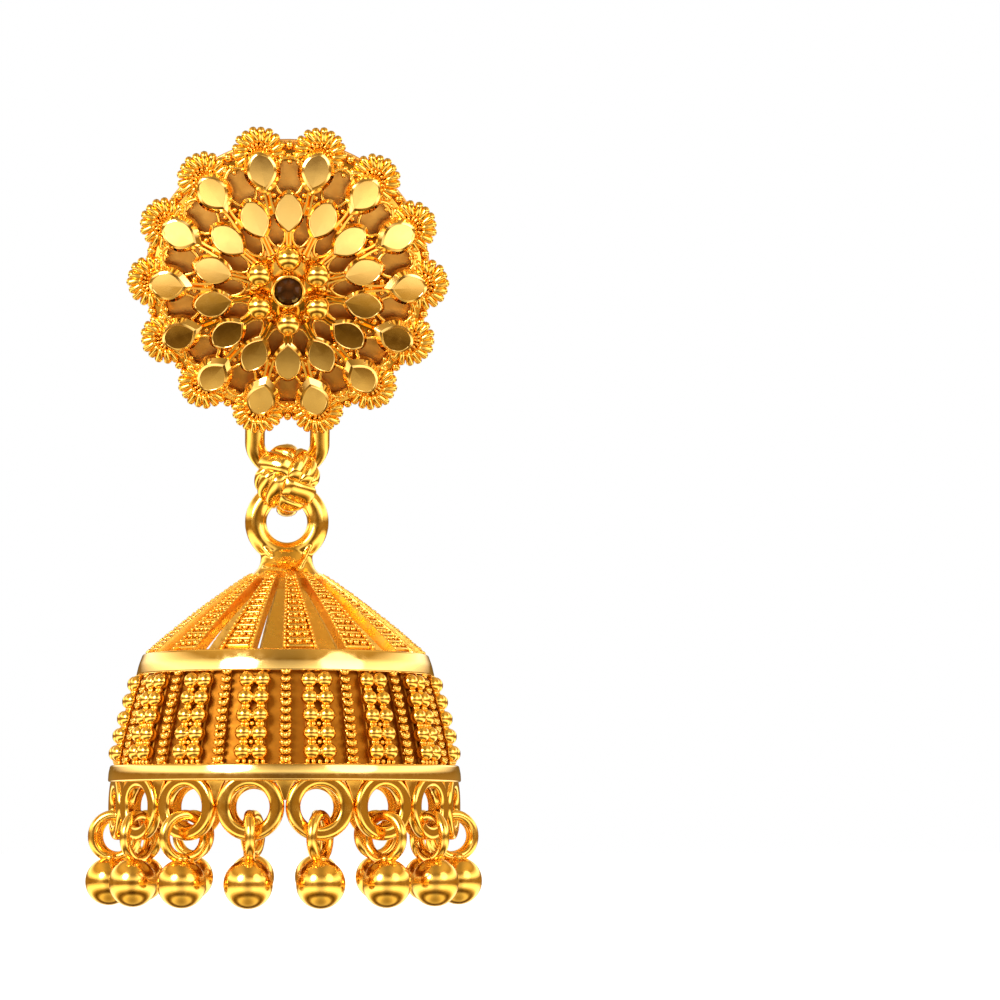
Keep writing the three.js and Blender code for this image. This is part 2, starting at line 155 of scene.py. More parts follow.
def wireRing(name, radius, wire, steps=40, sides=14):
    # a ring of wire that stands in the XZ plane
    rings = []
    for i in range(steps):
        angle = 2 * math.pi * i / steps
        ring = []
        for k in range(sides):
            turn = 2 * math.pi * k / sides
            reach = radius + wire * math.cos(turn)
            ring.append((reach * math.cos(angle), wire * math.sin(turn), reach * math.sin(angle)))
        rings.append(ring)
    return skin(name, rings, 80, closed=True)


def polish(piece, passes):
    # a light smoothing that takes the steps out of a surface
    relax = piece.modifiers.new("Polish", "SMOOTH")
    relax.iterations = passes
    relax.factor = 0.5


def blended(name, meshes, voxel, smoothing):
    # melts overlapping closed shapes into one cast body
    shape = bmesh.new()
    for mesh in meshes:
        shape.from_mesh(mesh)
    whole = bpy.data.meshes.new(name)
    shape.to_mesh(whole)
    shape.free()
    piece = newObject(name, whole)
    remesh = piece.modifiers.new("Melt", "REMESH")
    remesh.mode = "VOXEL"
    remesh.voxel_size = voxel
    polish(piece, smoothing)
    mesh = evaluatedMesh(piece)
    bpy.data.objects.remove(piece)
    return tidyMesh(mesh, 60)


def evaluatedMesh(piece):
    graph = bpy.context.evaluated_depsgraph_get()
    return bpy.data.meshes.new_from_object(piece.evaluated_get(graph))


def oneMesh(name, pieces):
    # several finished shapes kept as one piece
    shape = bmesh.new()
    for piece in pieces:
        shape.from_mesh(piece.data)
        bpy.data.objects.remove(piece)
    mesh = bpy.data.meshes.new(name)
    shape.to_mesh(mesh)
    shape.free()
    return newObject(name, mesh)


def finishPiece(piece, place, body, slot, material, *nodes):
    # brings a finished shape to its place in metres and says what it rides on and stands for
    piece.data.transform(toMetres @ place)
    for face in piece.data.polygons:
        face.use_smooth = True
    piece.data.materials.clear()
    piece.data.materials.append(material)
    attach(piece, body)
    if nodes:
        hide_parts(*nodes)
    return piece


def evenSize(size):
    # one number stands for the same scale in every direction
    return (size, size, size) if isinstance(size, (int, float)) else size


# Geometry Nodes helpers.

socketKinds = {
    "number": "NodeSocketFloat",
    "count": "NodeSocketInt",
    "size": "NodeSocketVector",
    "part": "NodeSocketObject",
    "finish": "NodeSocketMaterial",
}


def startTree(name, sockets):
    tree = bpy.data.node_groups.new(name, "GeometryNodeTree")
    tree.interface.new_socket("Geometry", in_out="OUTPUT", socket_type="NodeSocketGeometry")
    for label, kind, value in sockets:
        socket = tree.interface.new_socket(label, in_out="INPUT", socket_type=socketKinds[kind])
        if value is not None:
            socket.default_value = value
    return tree, tree.nodes.new("NodeGroupInput")


def addNode(tree, kind, values=None, **settings):
    made = tree.nodes.new(kind)
    for key, value in settings.items():
        setattr(made, key, value)
    for key, value in (values or {}).items():
        if isinstance(value, bpy.types.NodeSocket):
            tree.links.new(value, made.inputs[key])
        else:
            made.inputs[key].default_value = value
    return made


def calc(tree, operation, *values):
    made = addNode(tree, "ShaderNodeMath", dict(enumerate(values)), operation=operation)
    return made.outputs[0]


def mixed(tree, first, second, share):
    gap = calc(tree, "SUBTRACT", second, first)
    return calc(tree, "MULTIPLY_ADD", gap, share, first)


def vectorOf(tree, x, y, z):
    return addNode(tree, "ShaderNodeCombineXYZ", {0: x, 1: y, 2: z}).outputs[0]


def endTree(tree, geometry, finish):
    realized = addNode(tree, "GeometryNodeRealizeInstances", {0: geometry})
    painted = addNode(tree, "GeometryNodeSetMaterial", {"Geometry": realized.outputs[0], "Material": finish})
    exitNode = tree.nodes.new("NodeGroupOutput")
    tree.links.new(painted.outputs[0], exitNode.inputs[0])
    return tree


def placeCopies(tree, entry, count, position, rotation, scale):
    # copies of the part at computed places, each a little off the rule as hand work is
    offset = addNode(
        tree, "FunctionNodeRandomValue", {"Seed": entry.outputs["Seed"]}, data_type="FLOAT_VECTOR"
    )
    offset.inputs["Min"].default_value = (-1, -1, -1)
    offset.inputs["Max"].default_value = (1, 1, 1)
    reach = {0: offset.outputs[0], "Scale": entry.outputs["Unevenness"]}
    drift = addNode(tree, "ShaderNodeVectorMath", reach, operation="SCALE")
    spot = addNode(tree, "ShaderNodeVectorMath", {0: position, 1: drift.outputs[0]}, operation="ADD")
    points = addNode(tree, "GeometryNodePoints", {"Count": count, "Position": spot.outputs[0]})
    part = addNode(tree, "GeometryNodeObjectInfo", {"Object": entry.outputs["Part"]})
    turn = addNode(tree, "FunctionNodeEulerToRotation", {0: rotation})
    copies = addNode(
        tree,
        "GeometryNodeInstanceOnPoints",
        {
            "Points": points.outputs[0],
            "Instance": part.outputs["Geometry"],
            "Rotation": turn.outputs[0],
            "Scale": scale,
        },
    )
    return endTree(tree, copies.outputs[0], entry.outputs["Finish"])


def dialTree():
    # copies of a part around a circle, or around part of one
    tree, entry = startTree("Copies around a dial", [
        ("Part", "part", None),
        ("Copies", "count", 12),
        ("Circle Radius", "number", 10.0),
        ("Height", "number", 0.0),
        ("Start Angle", "number", 0.0),
        ("Sweep", "number", 2 * math.pi),
        ("Tilt", "number", 0.0),
        ("Spin", "number", 0.0),
        ("Size", "size", (1, 1, 1)),
        ("Unevenness", "number", 0.0),
        ("Seed", "count", 3),
        ("Finish", "finish", None),
    ])
    values = entry.outputs
    index = addNode(tree, "GeometryNodeInputIndex").outputs[0]
    share = calc(tree, "DIVIDE", index, values["Copies"])
    angle = calc(tree, "MULTIPLY_ADD", share, values["Sweep"], values["Start Angle"])
    x = calc(tree, "MULTIPLY", calc(tree, "COSINE", angle), values["Circle Radius"])
    y = calc(tree, "MULTIPLY", calc(tree, "SINE", angle), values["Circle Radius"])
    position = vectorOf(tree, x, y, values["Height"])
    rotation = vectorOf(tree, values["Spin"], values["Tilt"], angle)
    return placeCopies(tree, entry, values["Copies"], position, rotation, values["Size"])


def wallTree():
    # rows of a part on a leaning, slightly bulging round wall, in columns around it
    tree, entry = startTree("Rows on a round wall", [
        ("Part", "part", None),
        ("Columns", "count", 16),
        ("Rows", "count", 5),
        ("Across", "count", 1),
        ("Top Radius", "number", 10.0),
        ("Top Height", "number", 0.0),
        ("Foot Radius", "number", 11.0),
        ("Foot Height", "number", -6.0),
        ("Bulge", "number", 0.0),
        ("First Row", "number", 0.1),
        ("Last Row", "number", 0.9),
        ("Top Gap", "number", 1.0),
        ("Foot Gap", "number", 1.0),
        ("Lift", "number", 0.0),
        ("Start Angle", "number", 0.0),
        ("Top Size", "size", (1, 1, 1)),
        ("Foot Size", "size", (1, 1, 1)),
        ("Unevenness", "number", 0.0),
        ("Seed", "count", 5),
        ("Finish", "finish", None),
    ])
    v = entry.outputs
    index = calc(tree, "ADD", addNode(tree, "GeometryNodeInputIndex").outputs[0], 0.5)
    perColumn = calc(tree, "MULTIPLY", v["Rows"], v["Across"])
    column = calc(tree, "FLOOR", calc(tree, "DIVIDE", index, perColumn))
    inColumn = calc(tree, "SUBTRACT", index, calc(tree, "MULTIPLY", column, perColumn))
    row = calc(tree, "FLOOR", calc(tree, "DIVIDE", inColumn, v["Across"]))
    slot = calc(tree, "SUBTRACT", inColumn, calc(tree, "MULTIPLY_ADD", row, v["Across"], 0.5))
    lastRow = calc(tree, "MAXIMUM", calc(tree, "SUBTRACT", v["Rows"], 1.0), 1.0)
    t = mixed(tree, v["First Row"], v["Last Row"], calc(tree, "DIVIDE", row, lastRow))
    middle = calc(tree, "MULTIPLY", calc(tree, "SUBTRACT", v["Across"], 1.0), 0.5)
    gap = mixed(tree, v["Top Gap"], v["Foot Gap"], t)
    side = calc(tree, "MULTIPLY", calc(tree, "SUBTRACT", slot, middle), gap)
    run = calc(tree, "SUBTRACT", v["Foot Radius"], v["Top Radius"])
    fall = calc(tree, "SUBTRACT", v["Top Height"], v["Foot Height"])
    length = calc(tree, "SQRT", calc(tree, "MULTIPLY_ADD", run, run, calc(tree, "MULTIPLY", fall, fall)))
    back = calc(tree, "SUBTRACT", 1.0, t)
    arch = calc(tree, "MULTIPLY", calc(tree, "MULTIPLY", calc(tree, "MULTIPLY", t, back), 4.0), v["Bulge"])
    out = calc(tree, "ADD", arch, v["Lift"])
    flatRadius = mixed(tree, v["Top Radius"], v["Foot Radius"], t)
    flatHeight = mixed(tree, v["Top Height"], v["Foot Height"], t)
    radius = calc(tree, "MULTIPLY_ADD", calc(tree, "DIVIDE", fall, length), out, flatRadius)
    height = calc(tree, "MULTIPLY_ADD", calc(tree, "DIVIDE", run, length), out, flatHeight)
    around = calc(tree, "DIVIDE", column, v["Columns"])
    angle = calc(tree, "MULTIPLY_ADD", around, 2 * math.pi, v["Start Angle"])
    cosine = calc(tree, "COSINE", angle)
    sine = calc(tree, "SINE", angle)
    x = calc(tree, "SUBTRACT", calc(tree, "MULTIPLY", radius, cosine), calc(tree, "MULTIPLY", side, sine))
    y = calc(tree, "ADD", calc(tree, "MULTIPLY", radius, sine), calc(tree, "MULTIPLY", side, cosine))
    lean = calc(tree, "ARCTAN2", run, fall)
    steepness = calc(tree, "MULTIPLY", calc(tree, "SUBTRACT", 1.0, calc(tree, "MULTIPLY", t, 2.0)), 4.0)
    rise = calc(tree, "MULTIPLY", steepness, v["Bulge"])
    bend = calc(tree, "ARCTANGENT", calc(tree, "DIVIDE", rise, length))
    tilt = calc(tree, "MULTIPLY", calc(tree, "ADD", lean, bend), -1.0)
    position = vectorOf(tree, x, y, height)
    rotation = vectorOf(tree, 0.0, tilt, angle)
    size = addNode(tree, "ShaderNodeMix", {"Factor": t}, data_type="VECTOR")
    tree.links.new(v["Top Size"], size.inputs[4])
    tree.links.new(v["Foot Size"], size.inputs[5])
    count = calc(tree, "MULTIPLY", v["Columns"], perColumn)
    return placeCopies(tree, entry, count, position, rotation, size.outputs[1])


def wireTree():
    # a wire drawn along a curve, thicker in its middle than at its ends
    tree, entry = startTree("Wire along a curve", [
        ("Path", "part", None),
        ("Thickness", "number", 0.5),
        ("End Thickness", "number", 1.0),
        ("Flatness", "number", 1.0),
        ("Sides", "count", 12),
        ("Finish", "finish", None),
    ])
    v = entry.outputs
    path = addNode(tree, "GeometryNodeObjectInfo", {"Object": v["Path"]})
    share = addNode(tree, "GeometryNodeSplineParameter").outputs["Factor"]
    hump = calc(tree, "MULTIPLY", calc(tree, "MULTIPLY", share, calc(tree, "SUBTRACT", 1.0, share)), 4.0)
    full = calc(tree, "POWER", hump, 0.5)
    width = mixed(tree, v["End Thickness"], 1.0, full)
    shaped = addNode(tree, "GeometryNodeSetCurveRadius", {"Curve": path.outputs["Geometry"], "Radius": width})
    outline = {"Resolution": v["Sides"], "Radius": v["Thickness"]}
    section = addNode(tree, "GeometryNodeCurvePrimitiveCircle", outline)
    squash = addNode(tree, "GeometryNodeTransform", {"Geometry": section.outputs[0]})
    tree.links.new(vectorOf(tree, 1.0, v["Flatness"], 1.0), squash.inputs["Scale"])
    tube = addNode(
        tree,
        "GeometryNodeCurveToMesh",
        {"Curve": shaped.outputs[0], "Profile Curve": squash.outputs[0], "Fill Caps": True},
    )
    if "Scale" in tube.inputs:
        tree.links.new(width, tube.inputs["Scale"])
    return endTree(tree, tube.outputs[0], v["Finish"])


def grow(name, tree, values):
    # runs a tree on an empty object and keeps the result as a plain mesh
    piece = newObject(name, bpy.data.meshes.new(name))
    build = piece.modifiers.new("Build", "NODES")
    build.node_group = tree
    for item in tree.interface.items_tree:
        if item.item_type == "SOCKET" and item.in_out == "INPUT" and item.name in values:
            value = values[item.name]
            if item.socket_type == "NodeSocketFloat":
                value = float(value)
            if item.socket_type == "NodeSocketVector":
                value = [float(v) for v in value]
            build[item.identifier] = value
    mesh = evaluatedMesh(piece)
    piece.modifiers.clear()
    piece.data = mesh
    return piece


def part(name, mesh):
    # a shape that a tree copies; it is taken away once everything is made
    made = newObject(name, mesh)
    partsToCopy.append(made)
    return made


def path(name, points, closed=False):
    curve = bpy.data.curves.new(name, "CURVE")
    curve.dimensions = "3D"
    line = curve.splines.new("POLY")
    line.points.add(len(points) - 1)
    for point, spot in zip(line.points, points):
        point.co = (*spot, 1)
    line.use_cyclic_u = closed
    return part(name, curve)


partsToCopy = []
dial = dialTree()
wall = wallTree()
wire = wireTree()
print("trees ready")


# Finishes.

def goldSurface():
    # tone, gloss and fine relief of gold; used by every gold finish with its own values
    group = bpy.data.node_groups.new("Gold surface", "ShaderNodeTree")
    sockets = [
        ("Bright", "NodeSocketColor"), ("Deep", "NodeSocketColor"), ("Patch Scale", "NodeSocketFloat"),
        ("Low Roughness", "NodeSocketFloat"), ("High Roughness", "NodeSocketFloat"),
        ("Grain Scale", "NodeSocketFloat"),
    ]
    for label, kind in sockets:
        group.interface.new_socket(label, in_out="INPUT", socket_type=kind)
    results = [("Tone", "NodeSocketColor"), ("Roughness", "NodeSocketFloat"), ("Relief", "NodeSocketFloat")]
    for label, kind in results:
        group.interface.new_socket(label, in_out="OUTPUT", socket_type=kind)
    entry = group.nodes.new("NodeGroupInput")
    exitNode = group.nodes.new("NodeGroupOutput")
    place = addNode(group, "ShaderNodeTexCoord").outputs["Object"]
    patches = addNode(
        group, "ShaderNodeTexNoise", {"Vector": place, "Scale": entry.outputs["Patch Scale"], "Detail": 3.0}
    )
    tone = addNode(group, "ShaderNodeMix", {"Factor": patches.outputs[0]}, data_type="RGBA")
    group.links.new(entry.outputs["Bright"], tone.inputs[6])
    group.links.new(entry.outputs["Deep"], tone.inputs[7])
    wear = addNode(
        group, "ShaderNodeTexNoise", {"Vector": place, "Scale": entry.outputs["Grain Scale"], "Detail": 4.0}
    )
    worn = {"Value": wear.outputs[0], "From Min": 0.35, "From Max": 0.7}
    gloss = addNode(group, "ShaderNodeMapRange", worn)
    group.links.new(entry.outputs["Low Roughness"], gloss.inputs["To Min"])
    group.links.new(entry.outputs["High Roughness"], gloss.inputs["To Max"])
    group.links.new(tone.outputs[2], exitNode.inputs["Tone"])
    group.links.new(gloss.outputs[0], exitNode.inputs["Roughness"])
    group.links.new(wear.outputs[0], exitNode.inputs["Relief"])
    return group


goldGroup = goldSurface()


def goldFinish(name, bright, deep, low, high, relief, patchScale=260.0, grainScale=1800.0,
               reliefDepth=0.00003):
    # a gold whose colour wanders between bright and deep, and its roughness between low and high
    material = bpy.data.materials.new(name)
    material.use_nodes = True
    nodes = material.node_tree
    shader = nodes.nodes["Principled BSDF"]
    surface = nodes.nodes.new("ShaderNodeGroup")
    surface.node_tree = goldGroup
    surface.inputs["Bright"].default_value = (*bright, 1)
    surface.inputs["Deep"].default_value = (*deep, 1)
    surface.inputs["Patch Scale"].default_value = patchScale
    surface.inputs["Low Roughness"].default_value = low
    surface.inputs["High Roughness"].default_value = high
    surface.inputs["Grain Scale"].default_value = grainScale
    nodes.links.new(surface.outputs["Tone"], shader.inputs["Base Color"])
    nodes.links.new(surface.outputs["Roughness"], shader.inputs["Roughness"])
    bump = nodes.nodes.new("ShaderNodeBump")
    bump.inputs["Strength"].default_value = relief
    bump.inputs["Distance"].default_value = reliefDepth
    nodes.links.new(surface.outputs["Relief"], bump.inputs["Height"])
    nodes.links.new(bump.outputs["Normal"], shader.inputs["Normal"])
    shader.inputs["Metallic"].default_value = 1.0
    return material


finishes = {
    "polished": dict(bright=(1.0, 0.66, 0.18), deep=(1.0, 0.56, 0.08), low=0.10, high=0.19, relief=0.12),
    "mirror": dict(bright=(1.0, 0.70, 0.27), deep=(1.0, 0.65, 0.21), low=0.08, high=0.17, relief=0.06),
    "satin": dict(bright=(1.0, 0.66, 0.18), deep=(1.0, 0.56, 0.08), low=0.13, high=0.24, relief=0.2),
    "ribs": dict(bright=(1.0, 0.66, 0.18), deep=(0.95, 0.52, 0.08), low=0.24, high=0.42, relief=0.45),
    # the back plate: its own patchy tone, with a darker, more orange deep tone as painted shade of its place
    # behind the flower
    "plate": dict(bright=(1.0, 0.58, 0.17), deep=(0.80, 0.38, 0.07), low=0.34, high=0.5, relief=0.5,
                  patchScale=420.0),
    # the drum's wall and its strips: gold darkened and reddened far below the metal's own colour, as painted
    # shade of the recess between the columns
    "panel": dict(bright=(0.50, 0.20, 0.02), deep=(0.34, 0.12, 0.009), low=0.5, high=0.65, relief=0.3),
    "beads": dict(bright=(1.0, 0.66, 0.18), deep=(1.0, 0.56, 0.08), low=0.12, high=0.2, relief=0.08),
}
polished = goldFinish("Polished gold", **finishes["polished"])
mirror = goldFinish("Burnished gold", **finishes["mirror"])
satin = goldFinish("Satin gold", **finishes["satin"])
ribGold = goldFinish("Hammered gold", **finishes["ribs"])
shadedPlateGold = goldFinish("Dull plate gold with painted shade", **finishes["plate"])
shadedPanelGold = goldFinish("Gold sheet with painted shade", **finishes["panel"])
beadGold = goldFinish("Granulated gold", **finishes["beads"])


stoneLook = {
    "warm": (0.075, 0.022, 0.004), "dark": (0.006, 0.002, 0.0006), "paintedGlintScale": 1600.0, "smearScale": 2500.0,
    "low": 0.03, "high": 0.1, "refraction": 1.55, "shine": 0.18,
}


def stoneFinish():
    material = bpy.data.materials.new("Smoky brown stone")
    material.use_nodes = True
    nodes = material.node_tree
    shader = nodes.nodes["Principled BSDF"]
    place = addNode(nodes, "ShaderNodeTexCoord").outputs["Object"]
    # warm spots painted into the stone's dark brown colour, as the glints of its facets
    paintedGlints = addNode(nodes, "ShaderNodeTexVoronoi", {"Vector": place, "Scale": stoneLook["paintedGlintScale"]})
    ramp = addNode(nodes, "ShaderNodeValToRGB", {"Fac": paintedGlints.outputs["Distance"]})
    ramp.color_ramp.elements[0].color = (*stoneLook["warm"], 1)
    ramp.color_ramp.elements[1].color = (*stoneLook["dark"], 1)
    nodes.links.new(ramp.outputs[0], shader.inputs["Base Color"])
    smear = addNode(nodes, "ShaderNodeTexNoise", {"Vector": place, "Scale": stoneLook["smearScale"]})
    spread = {"Value": smear.outputs[0], "To Min": stoneLook["low"], "To Max": stoneLook["high"]}
    gloss = addNode(nodes, "ShaderNodeMapRange", spread)
    nodes.links.new(gloss.outputs[0], shader.inputs["Roughness"])
    shader.inputs["IOR"].default_value = stoneLook["refraction"]
    shader.inputs["Specular IOR Level"].default_value = stoneLook["shine"]
    return material


smokyStone = stoneFinish()
print("finishes ready")


# The head: flower, stone, plate with the hanging ring, and post.

flower = {
    "petals": 14,
    "underside": 0.74,
    "rise": 1.5,
    "domeRadius": 9.0,
    "webThickness": 0.6,
    "hubInner": 0.4,
    "hubRadius": 2.9,
    "middleInner": 5.05,
    "middleOuter": 6.0,
    "rimInner": 8.5,
    "rimOuter": 9.2,
    "innerPetal": dict(halfLength=1.42, halfWidth=0.97, top=0.42, table=0.88, rim=0.05, tilt=0.02),
    "outerPetal": dict(halfLength=1.50, halfWidth=1.14, top=0.86, table=0.74, rim=0.03, tilt=0.06),
    "innerStem": dict(length=1.9, width=0.44, height=0.56, groove=0.12),
    "outerStem": dict(length=2.2, width=0.62, height=0.56, groove=0.22),
    "innerWindow": dict(halfLength=1.14, halfWidth=0.62, thickness=0.10),
    "outerWindow": dict(halfLength=1.38, halfWidth=1.0, thickness=0.13),
    "bezel": [(0.93, 3.3), (0.93, 3.70), (1.03, 3.80), (1.17, 3.72), (1.20, 2.3), (0.3, 2.3), (0.3, 3.0)],
}
topTurn = math.pi / 2  # the first petal points to the flower's top
pitch = 2 * math.pi / flower["petals"]


def domeHeight(radius):
    return flower["underside"] + flower["rise"] * (1 - (radius / flower["domeRadius"]) ** 2)


def domeSlope(radius):
    return math.atan(2 * flower["rise"] * radius / flower["domeRadius"] ** 2)


def leafOutline(halfLength, halfWidth, scale, height, tilt=0.0, points=32, inward=0.95, outward=0.22):
    # a leaf lying along X, drawn out to a point at its inner end and a blunter one at its outer end
    ring = []
    for i in range(points):
        angle = 2 * math.pi * i / points
        sharp = outward if math.cos(angle) > 0 else inward
        x = scale * halfLength * math.cos(angle)
        y = scale * halfWidth * math.sin(angle) * abs(math.sin(angle)) ** sharp
        ring.append((x, y, height + tilt * x))
    return ring


def petalPart(name, halfLength, halfWidth, top, table, rim, tilt, crown=0.012):
    # a raised petal with steep sides and a flat polished table inside a narrow rim
    rings = [
        leafOutline(halfLength, halfWidth, 1.10, -0.15),
        leafOutline(halfLength, halfWidth, 1.09, top * 0.45),
        leafOutline(halfLength, halfWidth, 0.5 * (1 + table), top * 0.93, tilt * 0.6),
        leafOutline(halfLength, halfWidth, table + rim, top, tilt),
        leafOutline(halfLength, halfWidth, table, top + 0.015, tilt),
        leafOutline(halfLength, halfWidth, table - rim * 0.6, top - rim * 0.25, tilt),
        leafOutline(halfLength, halfWidth, table * 0.55, top - rim * 0.25 + crown, tilt),
        leafOutline(halfLength, halfWidth, table * 0.1, top - rim * 0.25 + crown * 1.4, tilt),
    ]
    return part(name, skin(name, rings, 22))


def stemPart(name, length, width, height, groove):
    # two fine wires side by side, lying along X, waisted a little short of their middle
    sunk = -0.15
    waist = 0.45
    spans = 6
    rings = []
    for k in range(spans + 1):
        t = k / spans
        flare = 1 + 0.55 * abs(t - waist) ** 1.5 * 3
        half = width * 0.5 * flare
        x = (t - 0.5) * length
        section = [
            (-half, sunk), (-half, height * 0.5), (-half * 0.72, height), (-half * 0.3, height),
            (0, height - groove), (half * 0.3, height), (half * 0.72, height), (half, height * 0.5),
            (half, sunk),
        ]
        rings.append([(x, y, z) for y, z in section])
    return part(name, skin(name, rings, 50))


def domeRing(name, inner, outer, thickness, steps=112):
    # a ring of sheet that follows the flower's dome
    spans = 6
    radii = [inner + (outer - inner) * k / spans for k in range(spans + 1)]
    under = [(r, domeHeight(r)) for r in radii]
    over = [(r, domeHeight(r) + thickness) for r in reversed(radii)]
    return turned(name, under + over, steps, 50)


def leafWire(name, halfLength, halfWidth, thickness, sides=7):
    # a closed loop of wire in the outline of a leaf, which frames a window of the lattice
    ring = leafOutline(halfLength, halfWidth, 1.0, 0.0, points=22, inward=0.25, outward=0.0)
    points = [Vector(p) for p in ring]
    rings = []
    for i, here in enumerate(points):
        along = (points[(i + 1) % len(points)] - points[i - 1]).normalized()
        side = Vector((along.y, -along.x, 0))
        ringPoints = []
        for k in range(sides):
            turn = 2 * math.pi * k / sides
            spot = here + side * thickness * math.cos(turn) + Vector((0, 0, thickness * 1.3 * math.sin(turn)))
            ringPoints.append(tuple(spot))
        rings.append(ringPoints)
    return part(name, skin(name, rings, 80, closed=True))


def lobe(name, halfLength, width, height, slant, taper, steps, levels):
    # one blunt rounded lobe lying along X, turned a little as the turns of a coil are
    mesh = ball(name, 1.0, steps, levels)
    for vert in mesh.vertices:
        straight = halfLength - width
        vert.co.y *= width * (1 - taper * (1 - vert.co.x))
        vert.co.x = vert.co.x * width + (straight if vert.co.x > 0 else -straight)
        vert.co.z *= height
    mesh.transform(Matrix.Rotation(slant, 4, "Z"))
    return part(name, mesh)


def scallopPart():
    # a fan of coil turns bent round into one scallop of the flower's edge
    fan = {
        "sweep": math.radians(226), "slant": math.radians(12), "taper": 0.24,
        "arch": 1.26, "lobes": 11, "length": 0.60, "width": 0.36, "height": 0.46,
        "innerArch": 0.68, "innerLobes": 9, "innerLength": 0.30, "innerWidth": 0.19, "innerHeight": 0.34,
        "backRadius": 1.45, "backFoot": -0.42, "backTop": -0.2,
    }

    def row(name, lobePart, copies, radius, height, jitter, seed):
        return grow(name, dial, {
            "Part": lobePart, "Copies": copies, "Circle Radius": radius, "Height": height,
            "Sweep": fan["sweep"],
            "Start Angle": (fan["sweep"] / copies - fan["sweep"]) / 2, "Unevenness": jitter, "Seed": seed,
            "Finish": polished,
        })

    outerLobe = lobe("outerLobe", fan["length"], fan["width"], fan["height"], fan["slant"], fan["taper"],
                     12, 8)
    innerLobe = lobe("innerLobe", fan["innerLength"], fan["innerWidth"], fan["innerHeight"], -fan["slant"],
                     fan["taper"], 8, 6)
    turns = row("scallopTurns", outerLobe, fan["lobes"], fan["arch"], 0.0, 0.03, 4)
    teeth = row("scallopTeeth", innerLobe, fan["innerLobes"], fan["innerArch"], -0.02, 0.04, 6)
    middle = 0.05
    outline = [
        (middle, fan["backFoot"]), (fan["backRadius"], fan["backFoot"]),
        (fan["backRadius"], fan["backTop"]), (middle, fan["backTop"]),
    ]
    back = newObject("scallopBack", turned("scallopBack", rounded(outline, 0.08, 2), 28, 50))
    scallop = oneMesh("scallop", [turns, teeth, back])
    partsToCopy.append(scallop)
    return scallop


granule = part("granule", ball("granule", 1.0, 8, 6))
smoothBall = part("smoothBall", ball("smoothBall", 1.0, 32, 20))


def onDome(name, source, radius, lift=0.0, copies=14, half=False, size=1.0, tilt=None, height=None, jitter=0.0,
           start=None, seed=3):
    # a circle of one part on the flower's dome; half puts it between the inner petals
    level = domeHeight(radius) + lift if height is None else height
    first = topTurn + (pitch / 2 if half else 0) if start is None else start
    return grow(name, dial, {
        "Part": source, "Copies": copies, "Circle Radius": radius, "Height": level, "Start Angle": first,
        "Tilt": domeSlope(radius) if tilt is None else tilt, "Size": evenSize(size), "Unevenness": jitter,
        "Seed": seed, "Finish": polished,
    })


def sheet(name, inner, outer, thickness):
    return newObject(name, domeRing(name, inner, outer, thickness))


def finishFlower(name, pieces, material):
    finishPiece(oneMesh(name, pieces), flowerPlace, "head", "polished_gold", material, "flower_front")


def makeFlower():
    web = flower["webThickness"]
    between = math.pi / 6  # half a step of the six balls
    beside = pitch * 0.36
    inner = petalPart("innerPetal", **flower["innerPetal"])
    outer = petalPart("outerPetal", **flower["outerPetal"])
    innerStem = stemPart("innerStem", **flower["innerStem"])
    outerStem = stemPart("outerStem", **flower["outerStem"])
    innerWindow = leafWire("innerWindow", **flower["innerWindow"])
    outerWindow = leafWire("outerWindow", **flower["outerWindow"])
    arch = scallopPart()
    finishFlower("flower_lattice", [
        sheet("hubSheet", flower["hubInner"], flower["hubRadius"], web * 0.35),
        onDome("hubLumps", granule, flower["hubRadius"], lift=web * 0.6, half=True, size=0.2, jitter=0.04,
               seed=14),
        onDome("hubBetween", granule, radius=2.30, lift=web * 0.6, copies=6, size=0.40, jitter=0.05,
               start=topTurn + between, seed=16),
        sheet("midSheet", flower["middleInner"], flower["middleOuter"], web * 0.6),
        sheet("rimSheet", flower["rimInner"], flower["rimOuter"], web),
        onDome("innerStems", innerStem, radius=3.5, lift=web - 0.2),
        onDome("outerStems", outerStem, radius=6.15, lift=web - 0.25, half=True),
        onDome("innerWindows", innerWindow, radius=4.02, lift=web - 0.02, half=True),
        onDome("outerWindows", outerWindow, radius=7.45, lift=web - 0.02),
        onDome("midGranules", granule, radius=5.55, lift=web + 0.02, half=True, size=0.21),
        onDome("midGranulesLeft", granule, radius=6.35, lift=web - 0.02, size=0.2, start=topTurn + beside),
        onDome("midGranulesRight", granule, radius=6.35, lift=web - 0.02, size=0.2, start=topTurn - beside),
        onDome("edgeGranules", granule, radius=8.82, lift=web + 0.02, copies=98, size=(0.2, 0.2, 0.24),
               jitter=0.05, seed=8),
        onDome("edgeGranulesIn", granule, radius=8.45, lift=web - 0.02, copies=84, size=0.17, jitter=0.06,
               seed=9),
        onDome("scallops", arch, radius=9.15, height=1.14, half=True, tilt=0.05),
        onDome("scallopTies", granule, radius=9.5, height=1.05, size=(0.34, 0.3, 0.3)),
    ], polished)
    finishFlower("flower_petals", [
        onDome("innerPetals", inner, radius=5.15, lift=web),
        onDome("outerPetals", outer, radius=7.95, lift=web - 0.05, half=True),
    ], mirror)
    finishFlower("flower_centre", [
        onDome("sixBalls", smoothBall, radius=2.24, height=3.62, copies=6, size=0.86, tilt=0),
        newObject("bezel", turned("bezel", rounded(flower["bezel"], 0.05), 48, 60)),
        onDome("bezelFoot", granule, radius=1.36, height=2.62, copies=6, size=0.24, tilt=0, jitter=0.03),
    ], polished)


